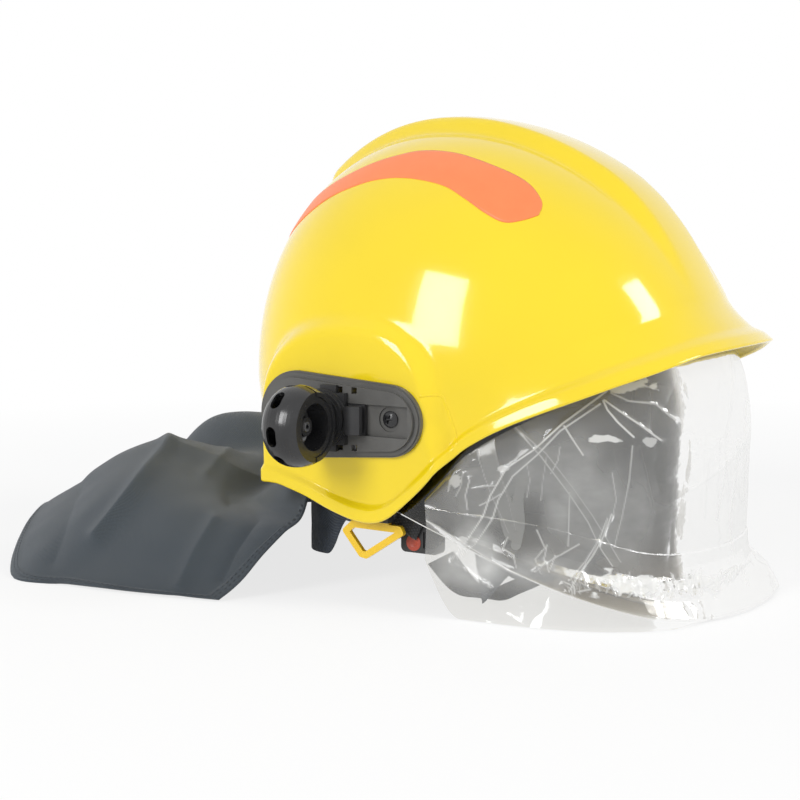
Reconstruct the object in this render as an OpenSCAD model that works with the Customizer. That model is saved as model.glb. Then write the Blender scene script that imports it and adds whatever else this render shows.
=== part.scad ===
// Fire helmet with a drop-down clear visor, a neck cape and a clamp for a torch.
// +X is the front, +Y the wearer's left, +Z up, and z = 0 is the table it stands on.

/* [Shell] */
// Widest section to the front of the dome
dome_front = 168; // [160:1:172]
// Widest section to the back of the dome
dome_rear = 118; // [112:1:122]
// Room at each side between the headband and the shell's outside
shell_room = 42; // [38:1:46]
// Place of the widest section along the helmet
crown_x = -35; // [-45:1:-25]
// Height of the equator above the table
equator_z = 120; // [116:1:124]
// Height of the dome over the equator
dome_h = 142; // [135:1:150]
// Wall of the shell
shell_t = 3; // [2.4:0.1:4]
// Height of the crest over the dome
crest_h = 8; // [0:0.5:12]
// Half the width of the flat top of the crest
crest_half_w = 17; // [12:1:24]
// Height of the front lip of the brim
brim_z = 147; // [144:1:150]
// Height of the back rim
rear_rim_z = 66; // [63:1:70]
// Height of the lowest point under the ear
ear_z = 49; // [47:1:52]
// Place of the lowest point under the ear
ear_x = -25; // [-29:1:-22]
// How far the brim stands out at the front
brim_out = 19; // [12:1:24]
// How far the rim stands out at the sides
rim_out = 3.5; // [2:0.5:6]
// How far the back wall draws in towards the rim
rear_tuck = 9; // [4:1:12]
// Distance from the middle plane to the flat seat over each ear
seat_y = 121.5; // [120:0.5:124]

/* [Visor] */
// Place of the visor's pivot along the helmet
pivot_x = -35; // [-37:1:-33]
// Height of the visor's pivot
pivot_z = 89; // [87:1:91]
// Gap between the visor's arc and the dome's plan, at the front
visor_front_gap = 1; // [0.5:0.5:5]
// Gap between the visor's side and the shell's inner wall
visor_side_gap = 5.5; // [5:0.5:7]
// Wall of the visor
visor_t = 2.5; // [2:0.1:3]
// Angle from the pivot to the visor's top edge at the front
visor_top_deg = 22; // [18:1:26]
// How far the bell at the bottom stands out at the front
bell_out = 21; // [18:1:26]
// Height of the bell
bell_h = 27; // [20:1:34]
// Radius of the shoulder that the visor turns on
pivot_r = 7; // [5:0.5:8]
// Radial clearance of a running fit
run_gap = 0.05; // [0.02:0.01:0.09]
// Clearance between faces that move past each other
face_gap = 0.3; // [0.25:0.05:0.5]

/* [Side plate] */
// Thickness of the plate's base
plate_base_t = 3.5; // [3:0.5:5]
// Thickness of the raised middle of the plate
plate_top_t = 2; // [1.5:0.5:3]
// Radius of the plate's front end
plate_front_r = 19.5; // [17:0.5:21]
// Radius of the plate's back end
plate_rear_r = 24; // [22:0.5:26]
// Centre of the front end
plate_front_x = -12; // [-15:1:-9]
// Centre of the back end
plate_rear_x = -71; // [-73:1:-68]
// Height of the plate's middle
plate_z = 104.5; // [103:0.5:106]
// Radius of the plate's screw
screw_r = 2.5; // [2:0.1:3]

/* [Torch clamp] */
// Place of the clamp's turntable along the plate
lamp_x = -50; // [-53:1:-47]
// Radius of the turntable
table_r = 16; // [14:0.5:18]
// Front radius of the cup
cup_front_r = 18.5; // [17.5:0.5:20]
// Largest radius of the cup
cup_r = 22; // [21:0.5:24]
// Length of the cup
cup_l = 25; // [24:1:30]
// Bore of the torch seat in the cup
cup_bore_r = 12.6; // [12:0.2:13.4]
// How far the cup's axis lies under the plate's middle
cup_drop = 1.5; // [0:0.5:4]
// Travel of the clamp along the plate's groove
lamp_travel = 8; // [4:1:9]

/* [Headband] */
// Middle of the head along the helmet
head_x = -12; // [-15:1:-9]
// Radius of the headband's ends
band_r = 76; // [72:1:77]
// Straight length of the headband's sides
band_straight = 30; // [24:1:32]
// Height of the headband's middle
band_z = 96; // [94:1:100]
// Width of the headband
band_w = 26; // [22:1:30]
// Thickness of the headband
band_t = 2; // [1.5:0.1:2.5]
// Pitch radius of the size knob's pinion
pinion_r = 6; // [5:0.5:7]
// Number of pins on the pinion
pinion_pins = 12; // [10:1:14]

/* [Cape] */
// Thickness of the cape's cloth
cape_t = 2; // [1.5:0.1:2.5]

/* [Hidden] */
dome_half_w = band_r + shell_room;
$fn = 64;

function clamp01(v) = min(max(v, 0), 1);
function smooth(a, b, v) = let(t = clamp01((v - a) / (b - a))) t * t * (3 - 2 * t);
function signed_pow(v, p) = sign(v) * pow(abs(v), p);
function mix(a, b, k) = a * (1 - k) + b * k;

// Height of the rim along the helmet, as chosen points
kink_x = ear_x + 43;
rim_points = [
    [-200, rear_rim_z + 1], [ear_x - 64, rear_rim_z], [ear_x - 44, ear_z + 12], [ear_x - 25, ear_z + 5],
    [ear_x - 12, ear_z + 1.3], [ear_x, ear_z], [ear_x + 8, ear_z + 1.7], [ear_x + 14, ear_z + 5],
    [ear_x + 26, ear_z + 15.3], [ear_x + 37, ear_z + 26], [kink_x + 1, ear_z + 35.3], [kink_x + 8, 91.6],
    [kink_x + 21, 100], [kink_x + 34, 107.2], [kink_x + 48, 114], [kink_x + 64, 121.7],
    [kink_x + 76, 127.7], [kink_x + 90, 134.1], [kink_x + 105, brim_z - 5], [kink_x + 118, brim_z - 1.5],
    [kink_x + 130, brim_z]
];
function rim_z(x) = (lookup(x - 4, rim_points) + 2 * lookup(x, rim_points) + lookup(x + 4, rim_points)) / 4;

// One point of the dome: around angle a, height z, and inset from the outer surface
plan_pow = 2.25;
front_pow = 1.85;
side_pow = 2.1;
rear_pow = 2.1;
wall_taper = 0.05;
function dome_pow(a) = side_pow + (cos(a) > 0 ? front_pow - side_pow : rear_pow - side_pow) * pow(cos(a), 2);
function ring_share(a, z, inset) = let(
    t = clamp01((z - equator_z) / (dome_h - inset)),
    m = dome_pow(a)
) pow(1 - pow(t, m), 1 / m);
function dome_point(a, z, inset) = let(
    k = ring_share(a, z, inset),
    deep = max(0, equator_z - z),
    tuck = rear_tuck * smooth(0.1, -0.8, cos(a)) * pow(deep / (equator_z - rear_rim_z), 2),
    cut = inset + deep * wall_taper + tuck,
    len = (cos(a) >= 0 ? dome_front : dome_rear) - cut
) [
    crown_x + len * k * signed_pow(cos(a), 2 / plan_pow),
    (dome_half_w - cut) * k * signed_pow(sin(a), 2 / plan_pow),
    z
];

// The rim turns out as a band all round, and as a deeper brim at the front
band_h = 9;
brim_h = 27;
function front_share(a) = smooth(0.15, 0.95, cos(a));
rear_flare = 0.5;
brim_pow = 1.7;
function rim_flare(a, dz) =
    rim_out * mix(1, rear_flare, smooth(0.3, -0.7, cos(a))) * smooth(band_h, band_h * 0.3, dz)
    + (brim_out - rim_out) * front_share(a) * pow(clamp01(1 - dz / brim_h), brim_pow);

// Flat raised seat over each ear, arched at the top
boss_x = plate_rear_x + 31;
boss_r = 51;
boss_rear_r = 62;
boss_lean = 0.35;
boss_pow = 2.4;
function boss_share(x, z) = let(
    up = max(0, z - plate_z),
    down = max(0, plate_z - z),
    reach = x < boss_x ? boss_rear_r : boss_r + down * boss_lean,
    q = pow(pow(abs(x - boss_x) / reach, boss_pow) + pow(up / boss_r, boss_pow), 1 / boss_pow)
) smooth(1.1, 0.88, q);

// Crest from the back of the crown towards the brim
crest_soft = 10;
crest_rear_deg = [131, 123];
crest_front_deg = [15, 50];
function crest_lift(x, y, z) = let(beta = atan2(z - equator_z, x - crown_x))
    crest_h * smooth(crest_half_w + crest_soft, crest_half_w, abs(y))
    * smooth(crest_rear_deg[0], crest_rear_deg[1], beta)
    * smooth(crest_front_deg[0], crest_front_deg[1], beta);

// One point of the shell: around angle a, height z, inset from the outer surface
function shell_point(a, z, inset) = let(
    p = dome_point(a, z, inset),
    w = boss_share(p[0], z) * smooth(0.2, 0.5, abs(sin(a))),
    y = mix(p[1], sign(p[1]) * (seat_y - inset), w),
    lift = crest_lift(p[0], p[1], z),
    up = [p[0] - crown_x, 0, z - equator_z],
    out = rim_flare(a, z - rim_z(p[0]))
) [p[0], y, z] + up * (lift / max(norm(up), 1)) + out * [cos(a), sin(a), 0];

function rim_x(a) = crown_x + (cos(a) >= 0 ? dome_front : dome_rear) * signed_pow(cos(a), 2 / plan_pow);

// Stations round the shell stand closer together at the ears
shell_stations = 84;
shell_rows = 13;
flare_rows = [0, 2.5, 6, 9.5, 14];
function station(i) = let(f = 360 * i / shell_stations) f + 14 * sin(2 * f);
function shell_ring(j, inset) = [
    for (i = [0:shell_stations - 1]) let(
        a = station(i),
        z0 = rim_z(rim_x(a)),
        z1 = z0 + flare_rows[4],
        top = equator_z + dome_h - inset,
        z = j < 5 ? z0 + flare_rows[j] : z1 + (top - z1) * sin(90 * (j - 4) / shell_rows)
    ) shell_point(a, z, inset)
];

function flat(l) = [for (r = l) for (p = r) p];

// Triangles of stacked rings of n points, closed by one point at the top
function ring_faces(n, rows, base, inward) = [
    for (j = [0:rows - 2]) for (i = [0:n - 1]) for (t = [0, 1]) let(
        a = base + j * n + i,
        b = base + j * n + (i + 1) % n,
        c = b + n,
        d = a + n
    ) inward ? (t == 0 ? [a, c, d] : [a, b, c]) : (t == 0 ? [a, d, c] : [a, c, b])
];
function cap_faces(n, rows, base, inward) = [
    for (i = [0:n - 1]) let(
        a = base + (rows - 1) * n + i,
        b = base + (rows - 1) * n + (i + 1) % n,
        top = base + rows * n
    ) inward ? [a, b, top] : [a, top, b]
];

// Closed bowl between an outer and an inner stack of rings
module bowl(outer, outer_top, inner, inner_top) {
    n = len(outer[0]);
    rows = len(outer);
    half = n * rows + 1;
    polyhedron(
        points = concat(flat(outer), [outer_top], flat(inner), [inner_top]),
        faces = concat(
            ring_faces(n, rows, 0, false), cap_faces(n, rows, 0, false),
            ring_faces(n, rows, half, true), cap_faces(n, rows, half, true),
            [for (i = [0:n - 1]) for (t = [0, 1]) let(k = (i + 1) % n)
                t == 0 ? [i, k, half + k] : [i, half + k, half + i]]
        ),
        convexity = 6
    );
}

module shell_body() {
    rows = 4 + shell_rows;
    bowl(
        [for (j = [0:rows - 1]) shell_ring(j, 0)],
        [crown_x, 0, equator_z + dome_h + crest_h],
        [for (j = [0:rows - 1]) shell_ring(j, shell_t)],
        [crown_x, 0, equator_z + dome_h + crest_h - shell_t]
    );
}

// Closed sheet between two grids of points, given as lists of rows
function sheet_faces(nu, nv) = let(w = nv + 1, off = (nu + 1) * w) concat(
    [for (i = [0:nu - 1]) for (j = [0:nv - 1]) for (t = [0:3])
        let(a = i * w + j, b = a + 1, c = b + w, d = a + w)
        t == 0 ? [a, c, b] : t == 1 ? [a, d, c]
        : t == 2 ? [off + a, off + b, off + c] : [off + a, off + c, off + d]],
    [for (i = [0:nu - 1]) for (t = [0:3]) let(a = i * w, d = a + w, b = a + nv, c = d + nv)
        t == 0 ? [d, a, off + a] : t == 1 ? [d, off + a, off + d]
        : t == 2 ? [b, c, off + c] : [b, off + c, off + b]],
    [for (j = [0:nv - 1]) for (t = [0:3]) let(a = j, b = j + 1, d = nu * w + j, c = d + 1)
        t == 0 ? [a, b, off + b] : t == 1 ? [a, off + b, off + a]
        : t == 2 ? [c, d, off + d] : [c, off + d, off + c]]
);
module sheet(top, under) {
    polyhedron(
        points = concat(flat(top), flat(under)),
        faces = sheet_faces(len(top) - 1, len(top[0]) - 1),
        convexity = 6
    );
}

// A rod along Y, a slab that stands in the XZ plane, and the right side as a mirror of the left
module y_rod(x, z, y0, y1, r) translate([x, y0, z]) rotate([-90, 0, 0]) cylinder(h = y1 - y0, r = r);
module y_slab(y0, y1) translate([0, y1, 0]) rotate([90, 0, 0]) linear_extrude(y1 - y0) children();
module block(low, high) translate(low) cube(high - low);
module right_side() mirror([0, 1, 0]) children();
module both_sides() {
    children();
    mirror([0, 1, 0]) children();
}

// Places of the screws
plate_screw_x = plate_front_x + 1;
plate_screw_z = plate_z + 1;
wall_in_y = seat_y - shell_t;
visor_r = dome_front + crown_x - pivot_x - visor_front_gap;
visor_half_w = wall_in_y - visor_side_gap;
bore_gap = 0.25;
bore_reach = 9;

module outer_shell() {
    color("gold") difference() {
        shell_body();
        both_sides() for (place = [[plate_screw_x, plate_screw_z], [pivot_x, pivot_z]])
            y_rod(place[0], place[1], wall_in_y - bore_reach, seat_y + bore_reach, screw_r + bore_gap);
    }
}

// Side plate: a slot outline that is taller at the back, with a raised middle and a groove
plate_face = seat_y + plate_base_t + plate_top_t;
groove_h = 17;
groove_d = 2.5;
groove_floor = plate_face - groove_d;
groove_rear_x = plate_rear_x + 4;
groove_front_x = plate_front_x + 13;
groove_lip = 1.6;
clip_hole = 3.4;
clip_rows = [15.5, -15.5];
clip_columns = [plate_front_x - 29, plate_front_x - 20];
recess_r = 6.8;
recess_floor = seat_y + 2;
screw_head_r = 4.5;
screw_head_h = 2.6;
head_top = recess_floor + screw_head_h;
head_dome_r = 7;
screw_slot = [5, 2.8, 1];
module plate_outline(grow) {
    hull() {
        translate([plate_rear_x, plate_z]) circle(r = plate_rear_r + grow);
        translate([plate_front_x, plate_z]) circle(r = plate_front_r + grow);
    }
}
module side_plate() {
    difference() {
        union() {
            y_slab(seat_y, seat_y + plate_base_t - 1) plate_outline(0);
            y_slab(seat_y + plate_base_t - 1.5, seat_y + plate_base_t) plate_outline(-1);
            y_slab(seat_y + plate_base_t - 0.5, plate_face) plate_outline(-3.5);
        }
        block([groove_rear_x, groove_floor, plate_z - groove_h / 2],
            [groove_front_x, plate_face + 1, plate_z + groove_h / 2]);
        block([groove_rear_x, groove_floor, plate_z - groove_h / 2 - groove_lip],
            [plate_screw_x - recess_r - 2, groove_floor + 1.2, plate_z + groove_h / 2 + groove_lip]);
        y_rod(plate_screw_x, plate_screw_z, recess_floor, plate_face + 1, recess_r);
        y_rod(plate_screw_x, plate_screw_z, seat_y - 1, plate_face, screw_r + 0.1);
        y_rod(pivot_x, pivot_z, seat_y - 1, seat_y + plate_base_t - 0.4, screw_r + run_gap);
        for (x = clip_columns) for (dz = clip_rows)
            block([x - clip_hole / 2, seat_y - 1, plate_z + dz - clip_hole / 2],
                [x + clip_hole / 2, plate_face + 1, plate_z + dz + clip_hole / 2]);
    }
}
module side_plate_left() color("dimgray") side_plate();
module side_plate_right() color("dimgray") right_side() side_plate();

// Pan-head screw with a cross slot, and its nut inside the shell
nut_af = 8;
nut_h = 3;
module plate_screw() {
    difference() {
        union() {
            y_rod(plate_screw_x, plate_screw_z, wall_in_y - nut_h - 0.3, recess_floor + 1, screw_r);
            y_rod(plate_screw_x, plate_screw_z, recess_floor, recess_floor + 1, screw_head_r);
            intersection() {
                y_rod(plate_screw_x, plate_screw_z, recess_floor + 0.9, head_top, screw_head_r);
                translate([plate_screw_x, head_top - head_dome_r, plate_screw_z]) sphere(r = head_dome_r);
            }
        }
        for (turn = [20, 110])
            translate([plate_screw_x, head_top, plate_screw_z]) rotate([0, turn, 0])
                cube(screw_slot, center = true);
    }
}
module plate_screws() color("silver") both_sides() plate_screw();
module plate_nut() {
    difference() {
        y_slab(wall_in_y - nut_h, wall_in_y) translate([plate_screw_x, plate_screw_z])
            circle(r = nut_af / sqrt(3), $fn = 6);
        y_rod(plate_screw_x, plate_screw_z, wall_in_y - nut_h - 1, wall_in_y + 1, screw_r + run_gap);
    }
}
module plate_nuts() color("gray") both_sides() plate_nut();

// Visor pivot: a spacer on the shell's inner wall, and a shoulder bolt that the visor turns on
hub_r = 14;
bolt_head_r = 11;
bolt_head_h = 2.5;
shoulder_y0 = visor_half_w - visor_t - face_gap;
shoulder_y1 = visor_half_w + face_gap;
module pivot_spacers() {
    color("dimgray") both_sides() difference() {
        y_rod(pivot_x, pivot_z, shoulder_y1, wall_in_y, hub_r);
        y_rod(pivot_x, pivot_z, shoulder_y1 - 1, wall_in_y + 1, screw_r + run_gap);
    }
}
module pivot_bolts() {
    color("silver") both_sides() difference() {
        union() {
            y_rod(pivot_x, pivot_z, shoulder_y0, shoulder_y1, pivot_r - run_gap);
            y_rod(pivot_x, pivot_z, shoulder_y0 - bolt_head_h, shoulder_y0, bolt_head_r);
            y_rod(pivot_x, pivot_z, shoulder_y0, seat_y + plate_base_t - 0.8, screw_r);
        }
        y_slab(shoulder_y0 - bolt_head_h - 1, shoulder_y0 - bolt_head_h + 1.8) translate([pivot_x, pivot_z])
            circle(r = 3, $fn = 6);
    }
}

// Visor: arcs about the pivot above it, an upright wall below, and a bell with a lip
visor_stations = 40;
visor_end_deg = 88;
lip_slope = 0.4;
lip_front_x = 115;
bell_steps = [[0, 1], [0.05, 0.78], [0.16, 0.56], [0.38, 0.4], [0.74, 0.27], [1, 0]];
visor_pow = 2.3;
wall_steps = [0, 0.35, 0.7];
top_steps = [1, 0.67, 0.33];
function visor_reach(a, inset) = (visor_r - inset) * signed_pow(cos(a), 2 / visor_pow);
lip_bend = 12;
function lip_z(x) = let(d = lip_front_x - x)
    visor_t + lip_slope * (d > lip_bend ? d : pow(max(0, d + lip_bend), 2) / (4 * lip_bend));
function bell_top(x) = min(lip_z(x) + bell_h * smooth(-40, 90, x) + 4, pivot_z - 6);
function visor_point(a, k, inset) = let(
    r = visor_reach(a, inset),
    y = (visor_half_w - inset) * signed_pow(sin(a), 2 / visor_pow),
    x = pivot_x + r,
    low = lip_z(x),
    knee = bell_top(x),
    up = top_steps[min(k, 2)] * visor_top_deg,
    s = bell_steps[max(k - 6, 0)],
    out = (bell_out + inset) * smooth(10, lip_front_x, x) * s[0],
    drop = inset * s[0] * smooth(10, 60, x)
) k < 3 ? [pivot_x + r * cos(up), y, pivot_z + r * sin(up)]
    : k < 6 ? [x, y, mix(pivot_z, knee, wall_steps[k - 3])]
    : [x + out * cos(a), y + out * sin(a), mix(low, knee, s[1]) - drop];
function visor_grid(inset) = [
    for (i = [0:visor_stations]) let(a = visor_end_deg * (2 * i / visor_stations - 1))
        [for (k = [0:11]) visor_point(a, k, inset)]
];
visor_hub_r = 16;
module visor() {
    color("lightcyan", 0.4) difference() {
        union() {
            sheet(visor_grid(0), visor_grid(visor_t));
            both_sides() y_rod(pivot_x, pivot_z, visor_half_w - visor_t, visor_half_w, visor_hub_r);
        }
        both_sides() y_rod(pivot_x, pivot_z, visor_half_w - 12, visor_half_w + 5, pivot_r);
    }
}

// Torch clamp: a carriage in the plate's groove, a sprung latch, a turntable and a cup
carriage_t = 3.2;
carriage_half = 14;
tongue_rear = lamp_x - 15;
tongue_front = lamp_x + 25;
carriage_y = plate_face + carriage_t + face_gap;
table_y0 = carriage_y + face_gap;
table_t = 4;
table_y1 = table_y0 + table_t;
table_pin_r = 4;
latch_x = lamp_x + 20.5;
latch_w = 8;
latch_h = 15;
latch_lift = 1.8;
latch_stem_r = 2;
latch_travel = 1.2;
latch_t = 6;
latch_bow_r = 8.6;
module lamp_carriage() {
    half_groove = groove_h / 2 - face_gap;
    color([0.12, 0.12, 0.13]) right_side() difference() {
        union() {
            block([tongue_rear, groove_floor + face_gap, plate_z - half_groove],
                [tongue_front, plate_face + face_gap, plate_z + half_groove]);
            block([tongue_rear, groove_floor + face_gap, plate_z - half_groove - groove_lip],
                [tongue_front - 8, groove_floor + face_gap + 0.6, plate_z + half_groove + groove_lip]);
            block([lamp_x - carriage_half, plate_face + face_gap, plate_z - carriage_half],
                [lamp_x + carriage_half, carriage_y, plate_z + carriage_half]);
            for (s = [-1, 1]) translate([lamp_x + 3, 0, plate_z + s * (carriage_half + 1.5)])
                block([-5, plate_face + face_gap, -2.5], [5, carriage_y - 0.8, 2.5]);
        }
        y_rod(lamp_x, plate_z, groove_floor - 1, carriage_y + 1, table_pin_r + run_gap);
        y_rod(latch_x, plate_z, groove_floor - 1, carriage_y + 1, latch_stem_r + run_gap);
    }
}
module lamp_latch() {
    y0 = plate_face + face_gap + latch_lift;
    color([0.1, 0.1, 0.11]) right_side() {
        y_rod(latch_x, plate_z, groove_floor + latch_travel + 0.7, y0 + 1, latch_stem_r);
        intersection() {
            block([latch_x - latch_w / 2, y0, plate_z - latch_h / 2],
                [latch_x + latch_w / 2, y0 + latch_t, plate_z + latch_h / 2]);
            translate([latch_x - 2, y0 + latch_t - 0.4 - latch_bow_r, plate_z - latch_h / 2])
                cylinder(h = latch_h, r = latch_bow_r);
        }
    }
}

// Cup: a dome turned about the torch's axis, with windows, a dished seat and a threaded insert
cup_y = table_y1 + cup_r - 1.5;
cup_x0 = lamp_x - cup_l / 2;
cup_wide = 13;
cup_wall = 2.8;
cup_rear_r = 11;
collar_l = 7;
collar_in_r = 16;
dish_depth = 12;
dish_taper = 1.5;
lip_step = 0.8;
core_r = 5;
insert_r = 2.6;
insert_bore_r = 1.25;
insert_l = 6;
core_front = cup_l - 6;
window_w = 11;
window_h = 6.5;
window_turns = [35, 80, 135, 180, 225];
function cup_radius(s) = s > cup_wide
    ? cup_r - (cup_r - cup_front_r) * pow((s - cup_wide) / (cup_l - cup_wide), 2)
    : cup_rear_r + (cup_r - cup_rear_r) * sqrt(1 - pow((cup_wide - s) / cup_wide, 2));
function cup_arc(s0, s1, n) = [for (i = [0:n]) let(s = mix(s0, s1, i / n)) [cup_radius(s), s]];
module along_lamp() translate([cup_x0, cup_y, plate_z - cup_drop]) rotate([0, 90, 0]) children();
module window_cut(s, w, h) {
    translate([0, (h - w) / 2, s - h / 2]) cube([cup_r, w - h, h]);
    for (y = [(h - w) / 2, (w - h) / 2])
        translate([0, y, s]) rotate([0, 90, 0]) cylinder(h = cup_r, r = h / 2);
}
cup_outline = concat(cup_arc(0, cup_l - collar_l, 9), cup_arc(cup_l - collar_l, cup_l, 4));
module cup_profile() {
    difference() {
        polygon(concat(
            [[0, 0]], cup_arc(0, cup_l - collar_l, 9),
            [[collar_in_r, cup_l - collar_l], [collar_in_r, cup_l - lip_step], [cup_bore_r, cup_l - lip_step],
            [cup_bore_r - dish_taper, cup_l - dish_depth], [core_r + dish_taper, cup_l - dish_depth - 1],
            [core_r, core_front], [insert_r + run_gap, core_front],
            [insert_r + run_gap, core_front - insert_l], [0, core_front - insert_l]]
        ));
        polygon([[core_r + cup_wall, cup_wall], [cup_radius(cup_wall) - cup_wall, cup_wall],
            [cup_r - cup_wall, cup_wide - 2 * cup_wall], [cup_r - cup_wall, cup_l - collar_l - 2],
            [cup_bore_r + cup_wall, cup_l - collar_l - 2],
            [core_r + cup_wall, cup_l - dish_depth - 2 * cup_wall]]);
    }
}
module lamp_cup() {
    color([0.07, 0.07, 0.08]) right_side() along_lamp() difference() {
        rotate_extrude() cup_profile();
        for (t = window_turns) rotate([0, 0, t]) translate([cup_r - 2 * cup_wall, 0, 0])
            window_cut(cup_wide - 2, window_w, window_h);
    }
}
module lamp_collar() {
    gap = 1.2;
    color([0.09, 0.09, 0.1]) right_side() along_lamp() difference() {
        rotate_extrude() polygon(concat(
            [[collar_in_r + 0.1, cup_l - collar_l], [collar_in_r + 0.1, cup_l]],
            [for (i = [4:-1:0]) [cup_radius(cup_l - collar_l * (1 - i / 4)), cup_l - collar_l * (1 - i / 4)]]
        ));
        for (s = [0, 1]) rotate([0, 0, 180 * s]) translate([-cup_r, -gap / 2, cup_l - collar_l - 1])
            cube([cup_r - collar_in_r + 1.5, gap, collar_l + 2]);
    }
}
module lamp_insert() {
    color("silver") right_side() along_lamp() difference() {
        translate([0, 0, core_front - insert_l]) cylinder(h = insert_l + 0.4, r = insert_r);
        translate([0, 0, core_front - insert_l - 1]) cylinder(h = insert_l + 2, r = insert_bore_r);
    }
}
module lamp_turntable() {
    color([0.1, 0.1, 0.11]) right_side() difference() {
        union() {
            y_rod(lamp_x, plate_z, groove_floor + 1, table_y0 + 1, table_pin_r);
            y_rod(lamp_x, plate_z, table_y0, table_y0 + 1.5, table_r);
            y_rod(lamp_x, plate_z, table_y0 + 1, table_y0 + 3, table_r - 1.2);
            y_rod(lamp_x, plate_z, table_y0 + 2.5, table_y1, table_r - 3);
            block([lamp_x - 9, table_y1 - 1, plate_z - 8], [lamp_x + 9, table_y1 + 3.5, plate_z + 8]);
        }
        along_lamp() rotate_extrude()
            polygon(concat([[0, 0]], [for (p = cup_outline) p + [run_gap, 0]], [[0, cup_l]]));
    }
}

// Inner liner, held off the shell by spacers at the back and the crown
liner_gap = 22;
liner_clear = 1.7;
liner_z0 = 128;
liner_stations = 48;
liner_rows = 8;
function liner_ring(j, inset) = let(top = equator_z + dome_h - inset) [
    for (i = [0:liner_stations - 1]) dome_point(station(i * shell_stations / liner_stations),
        liner_z0 + (top - liner_z0) * sin(90 * j / liner_rows), inset)
];
module impact_liner() {
    color([0.16, 0.16, 0.17]) bowl(
        [for (j = [0:liner_rows - 1]) liner_ring(j, liner_gap)],
        [crown_x, 0, equator_z + dome_h - liner_gap],
        [for (j = [0:liner_rows - 1]) liner_ring(j, liner_gap + liner_t)],
        [crown_x, 0, equator_z + dome_h - liner_gap - liner_t]
    );
}
spacer_slack = 0.7;
spacer_turns = [122, 168, 214];
spacer_deg = 24;
spacer_z0 = liner_z0 + 12;
spacer_h = 32;
crown_spacer_r = 10;
module spacer(a0, a1, z0, z1) {
    function wall(inset) = [
        for (i = [0:3]) [for (j = [0:2]) dome_point(mix(a0, a1, i / 3), mix(z1, z0, j / 2), inset)]
    ];
    sheet(wall(shell_t + spacer_slack), wall(liner_gap - spacer_slack));
}
module liner_spacers() {
    color([0.2, 0.2, 0.21]) {
        for (a = spacer_turns) spacer(a, a + spacer_deg, spacer_z0, spacer_z0 + spacer_h);
        translate([crown_x, 0, equator_z + dome_h - liner_gap + 0.2])
            cylinder(h = liner_gap + crest_h - shell_t - 2 * spacer_slack, r = crown_spacer_r);
    }
}

// Headband, open at the back, with a sweat pad and straps over the crown
band_front_x = head_x + band_straight / 2;
band_rear_x = band_front_x - band_r - band_straight;
corner_r = 40;
band_mouth = 30;
module band_outline(cut) {
    translate([band_front_x, 0]) circle(r = band_r - cut);
    translate([band_rear_x + corner_r, cut - band_r])
        square([band_front_x - band_rear_x - corner_r, 2 * (band_r - cut)]);
    for (s = [-1, 1]) translate([band_rear_x + corner_r, s * (band_r - corner_r)]) circle(r = corner_r - cut);
    translate([band_rear_x + cut, corner_r - band_r]) square([corner_r, 2 * (band_r - corner_r)]);
}
module headband() {
    color([0.1, 0.1, 0.1]) translate([0, 0, band_z - band_w / 2]) linear_extrude(band_w) difference() {
        band_outline(0);
        band_outline(band_t);
        translate([band_rear_x - 5, -band_mouth]) square([12, 2 * band_mouth]);
    }
}
pad_t = 5;
pad_deg = 58;
module brow_pad() {
    color([0.2, 0.2, 0.22]) translate([band_front_x, 0, band_z - band_w / 2 + 1]) rotate([0, 0, -pad_deg])
        rotate_extrude(angle = 2 * pad_deg) translate([band_r - band_t - pad_t - face_gap, 0])
            square([pad_t, band_w - 2]);
}
strap_w = 20;
strap_t = 1.6;
strap_z0 = 120;
strap_r = band_r + strap_t + face_gap;
strap_over = 0.4;
liner_t = shell_room - liner_gap - strap_t - face_gap - strap_over - liner_clear;
strap_steps = 14;
function strap_path(r, flat_l, front_drop, rear_drop) = concat(
    [[flat_l / 2 + r, -front_drop]],
    [for (i = [0:strap_steps]) let(t = 90 * i / strap_steps) [flat_l / 2 + r * cos(t), r * sin(t)]],
    [for (i = [flat_l > 0 ? 0 : 1:strap_steps]) let(t = 90 + 90 * i / strap_steps)
        [r * cos(t) - flat_l / 2, r * sin(t)]],
    [[-flat_l / 2 - r, -rear_drop]]
);
function reversed(list) = [for (i = [len(list) - 1:-1:0]) list[i]];
module crown_strap(r, flat_l, front_drop, rear_drop) {
    translate([0, strap_w / 2, 0]) rotate([90, 0, 0]) linear_extrude(strap_w) polygon(concat(
        strap_path(r, flat_l, front_drop, rear_drop),
        reversed(strap_path(r - strap_t, flat_l, front_drop, rear_drop))
    ));
}
module crown_straps() {
    drop = strap_z0 - band_z;
    color([0.14, 0.14, 0.15]) translate([head_x, 0, strap_z0]) {
        crown_strap(strap_r, band_straight, drop, strap_z0 - housing_z1 - face_gap);
        rotate([0, 0, 90]) crown_strap(strap_r + strap_over, 0, drop, drop);
    }
}
crown_pad_r = 27;
module crown_pad() {
    color([0.2, 0.2, 0.22]) translate([head_x, 0, strap_z0]) intersection() {
        difference() {
            sphere(r = strap_r - strap_t - face_gap);
            sphere(r = strap_r - strap_t - face_gap - pad_t);
        }
        cylinder(h = strap_r, r = crown_pad_r);
    }
}

// Clips between the crown straps and the lower edge of the liner
clip_z0 = 119;
clip_half = 9;
module harness_clips() {
    z1 = liner_z0 - face_gap;
    side_y = strap_r + strap_over + face_gap;
    front_x = head_x + band_straight / 2 + strap_r + face_gap;
    rear_x = head_x - band_straight / 2 - strap_r - face_gap;
    color([0.1, 0.1, 0.11]) {
        both_sides() block([head_x - clip_half, side_y, clip_z0], [head_x + clip_half, side_y + 13, z1]);
        block([front_x, -clip_half, clip_z0], [front_x + 24, clip_half, z1]);
        block([rear_x - 20, -clip_half, clip_z0], [rear_x, clip_half, z1]);
    }
}

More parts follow.
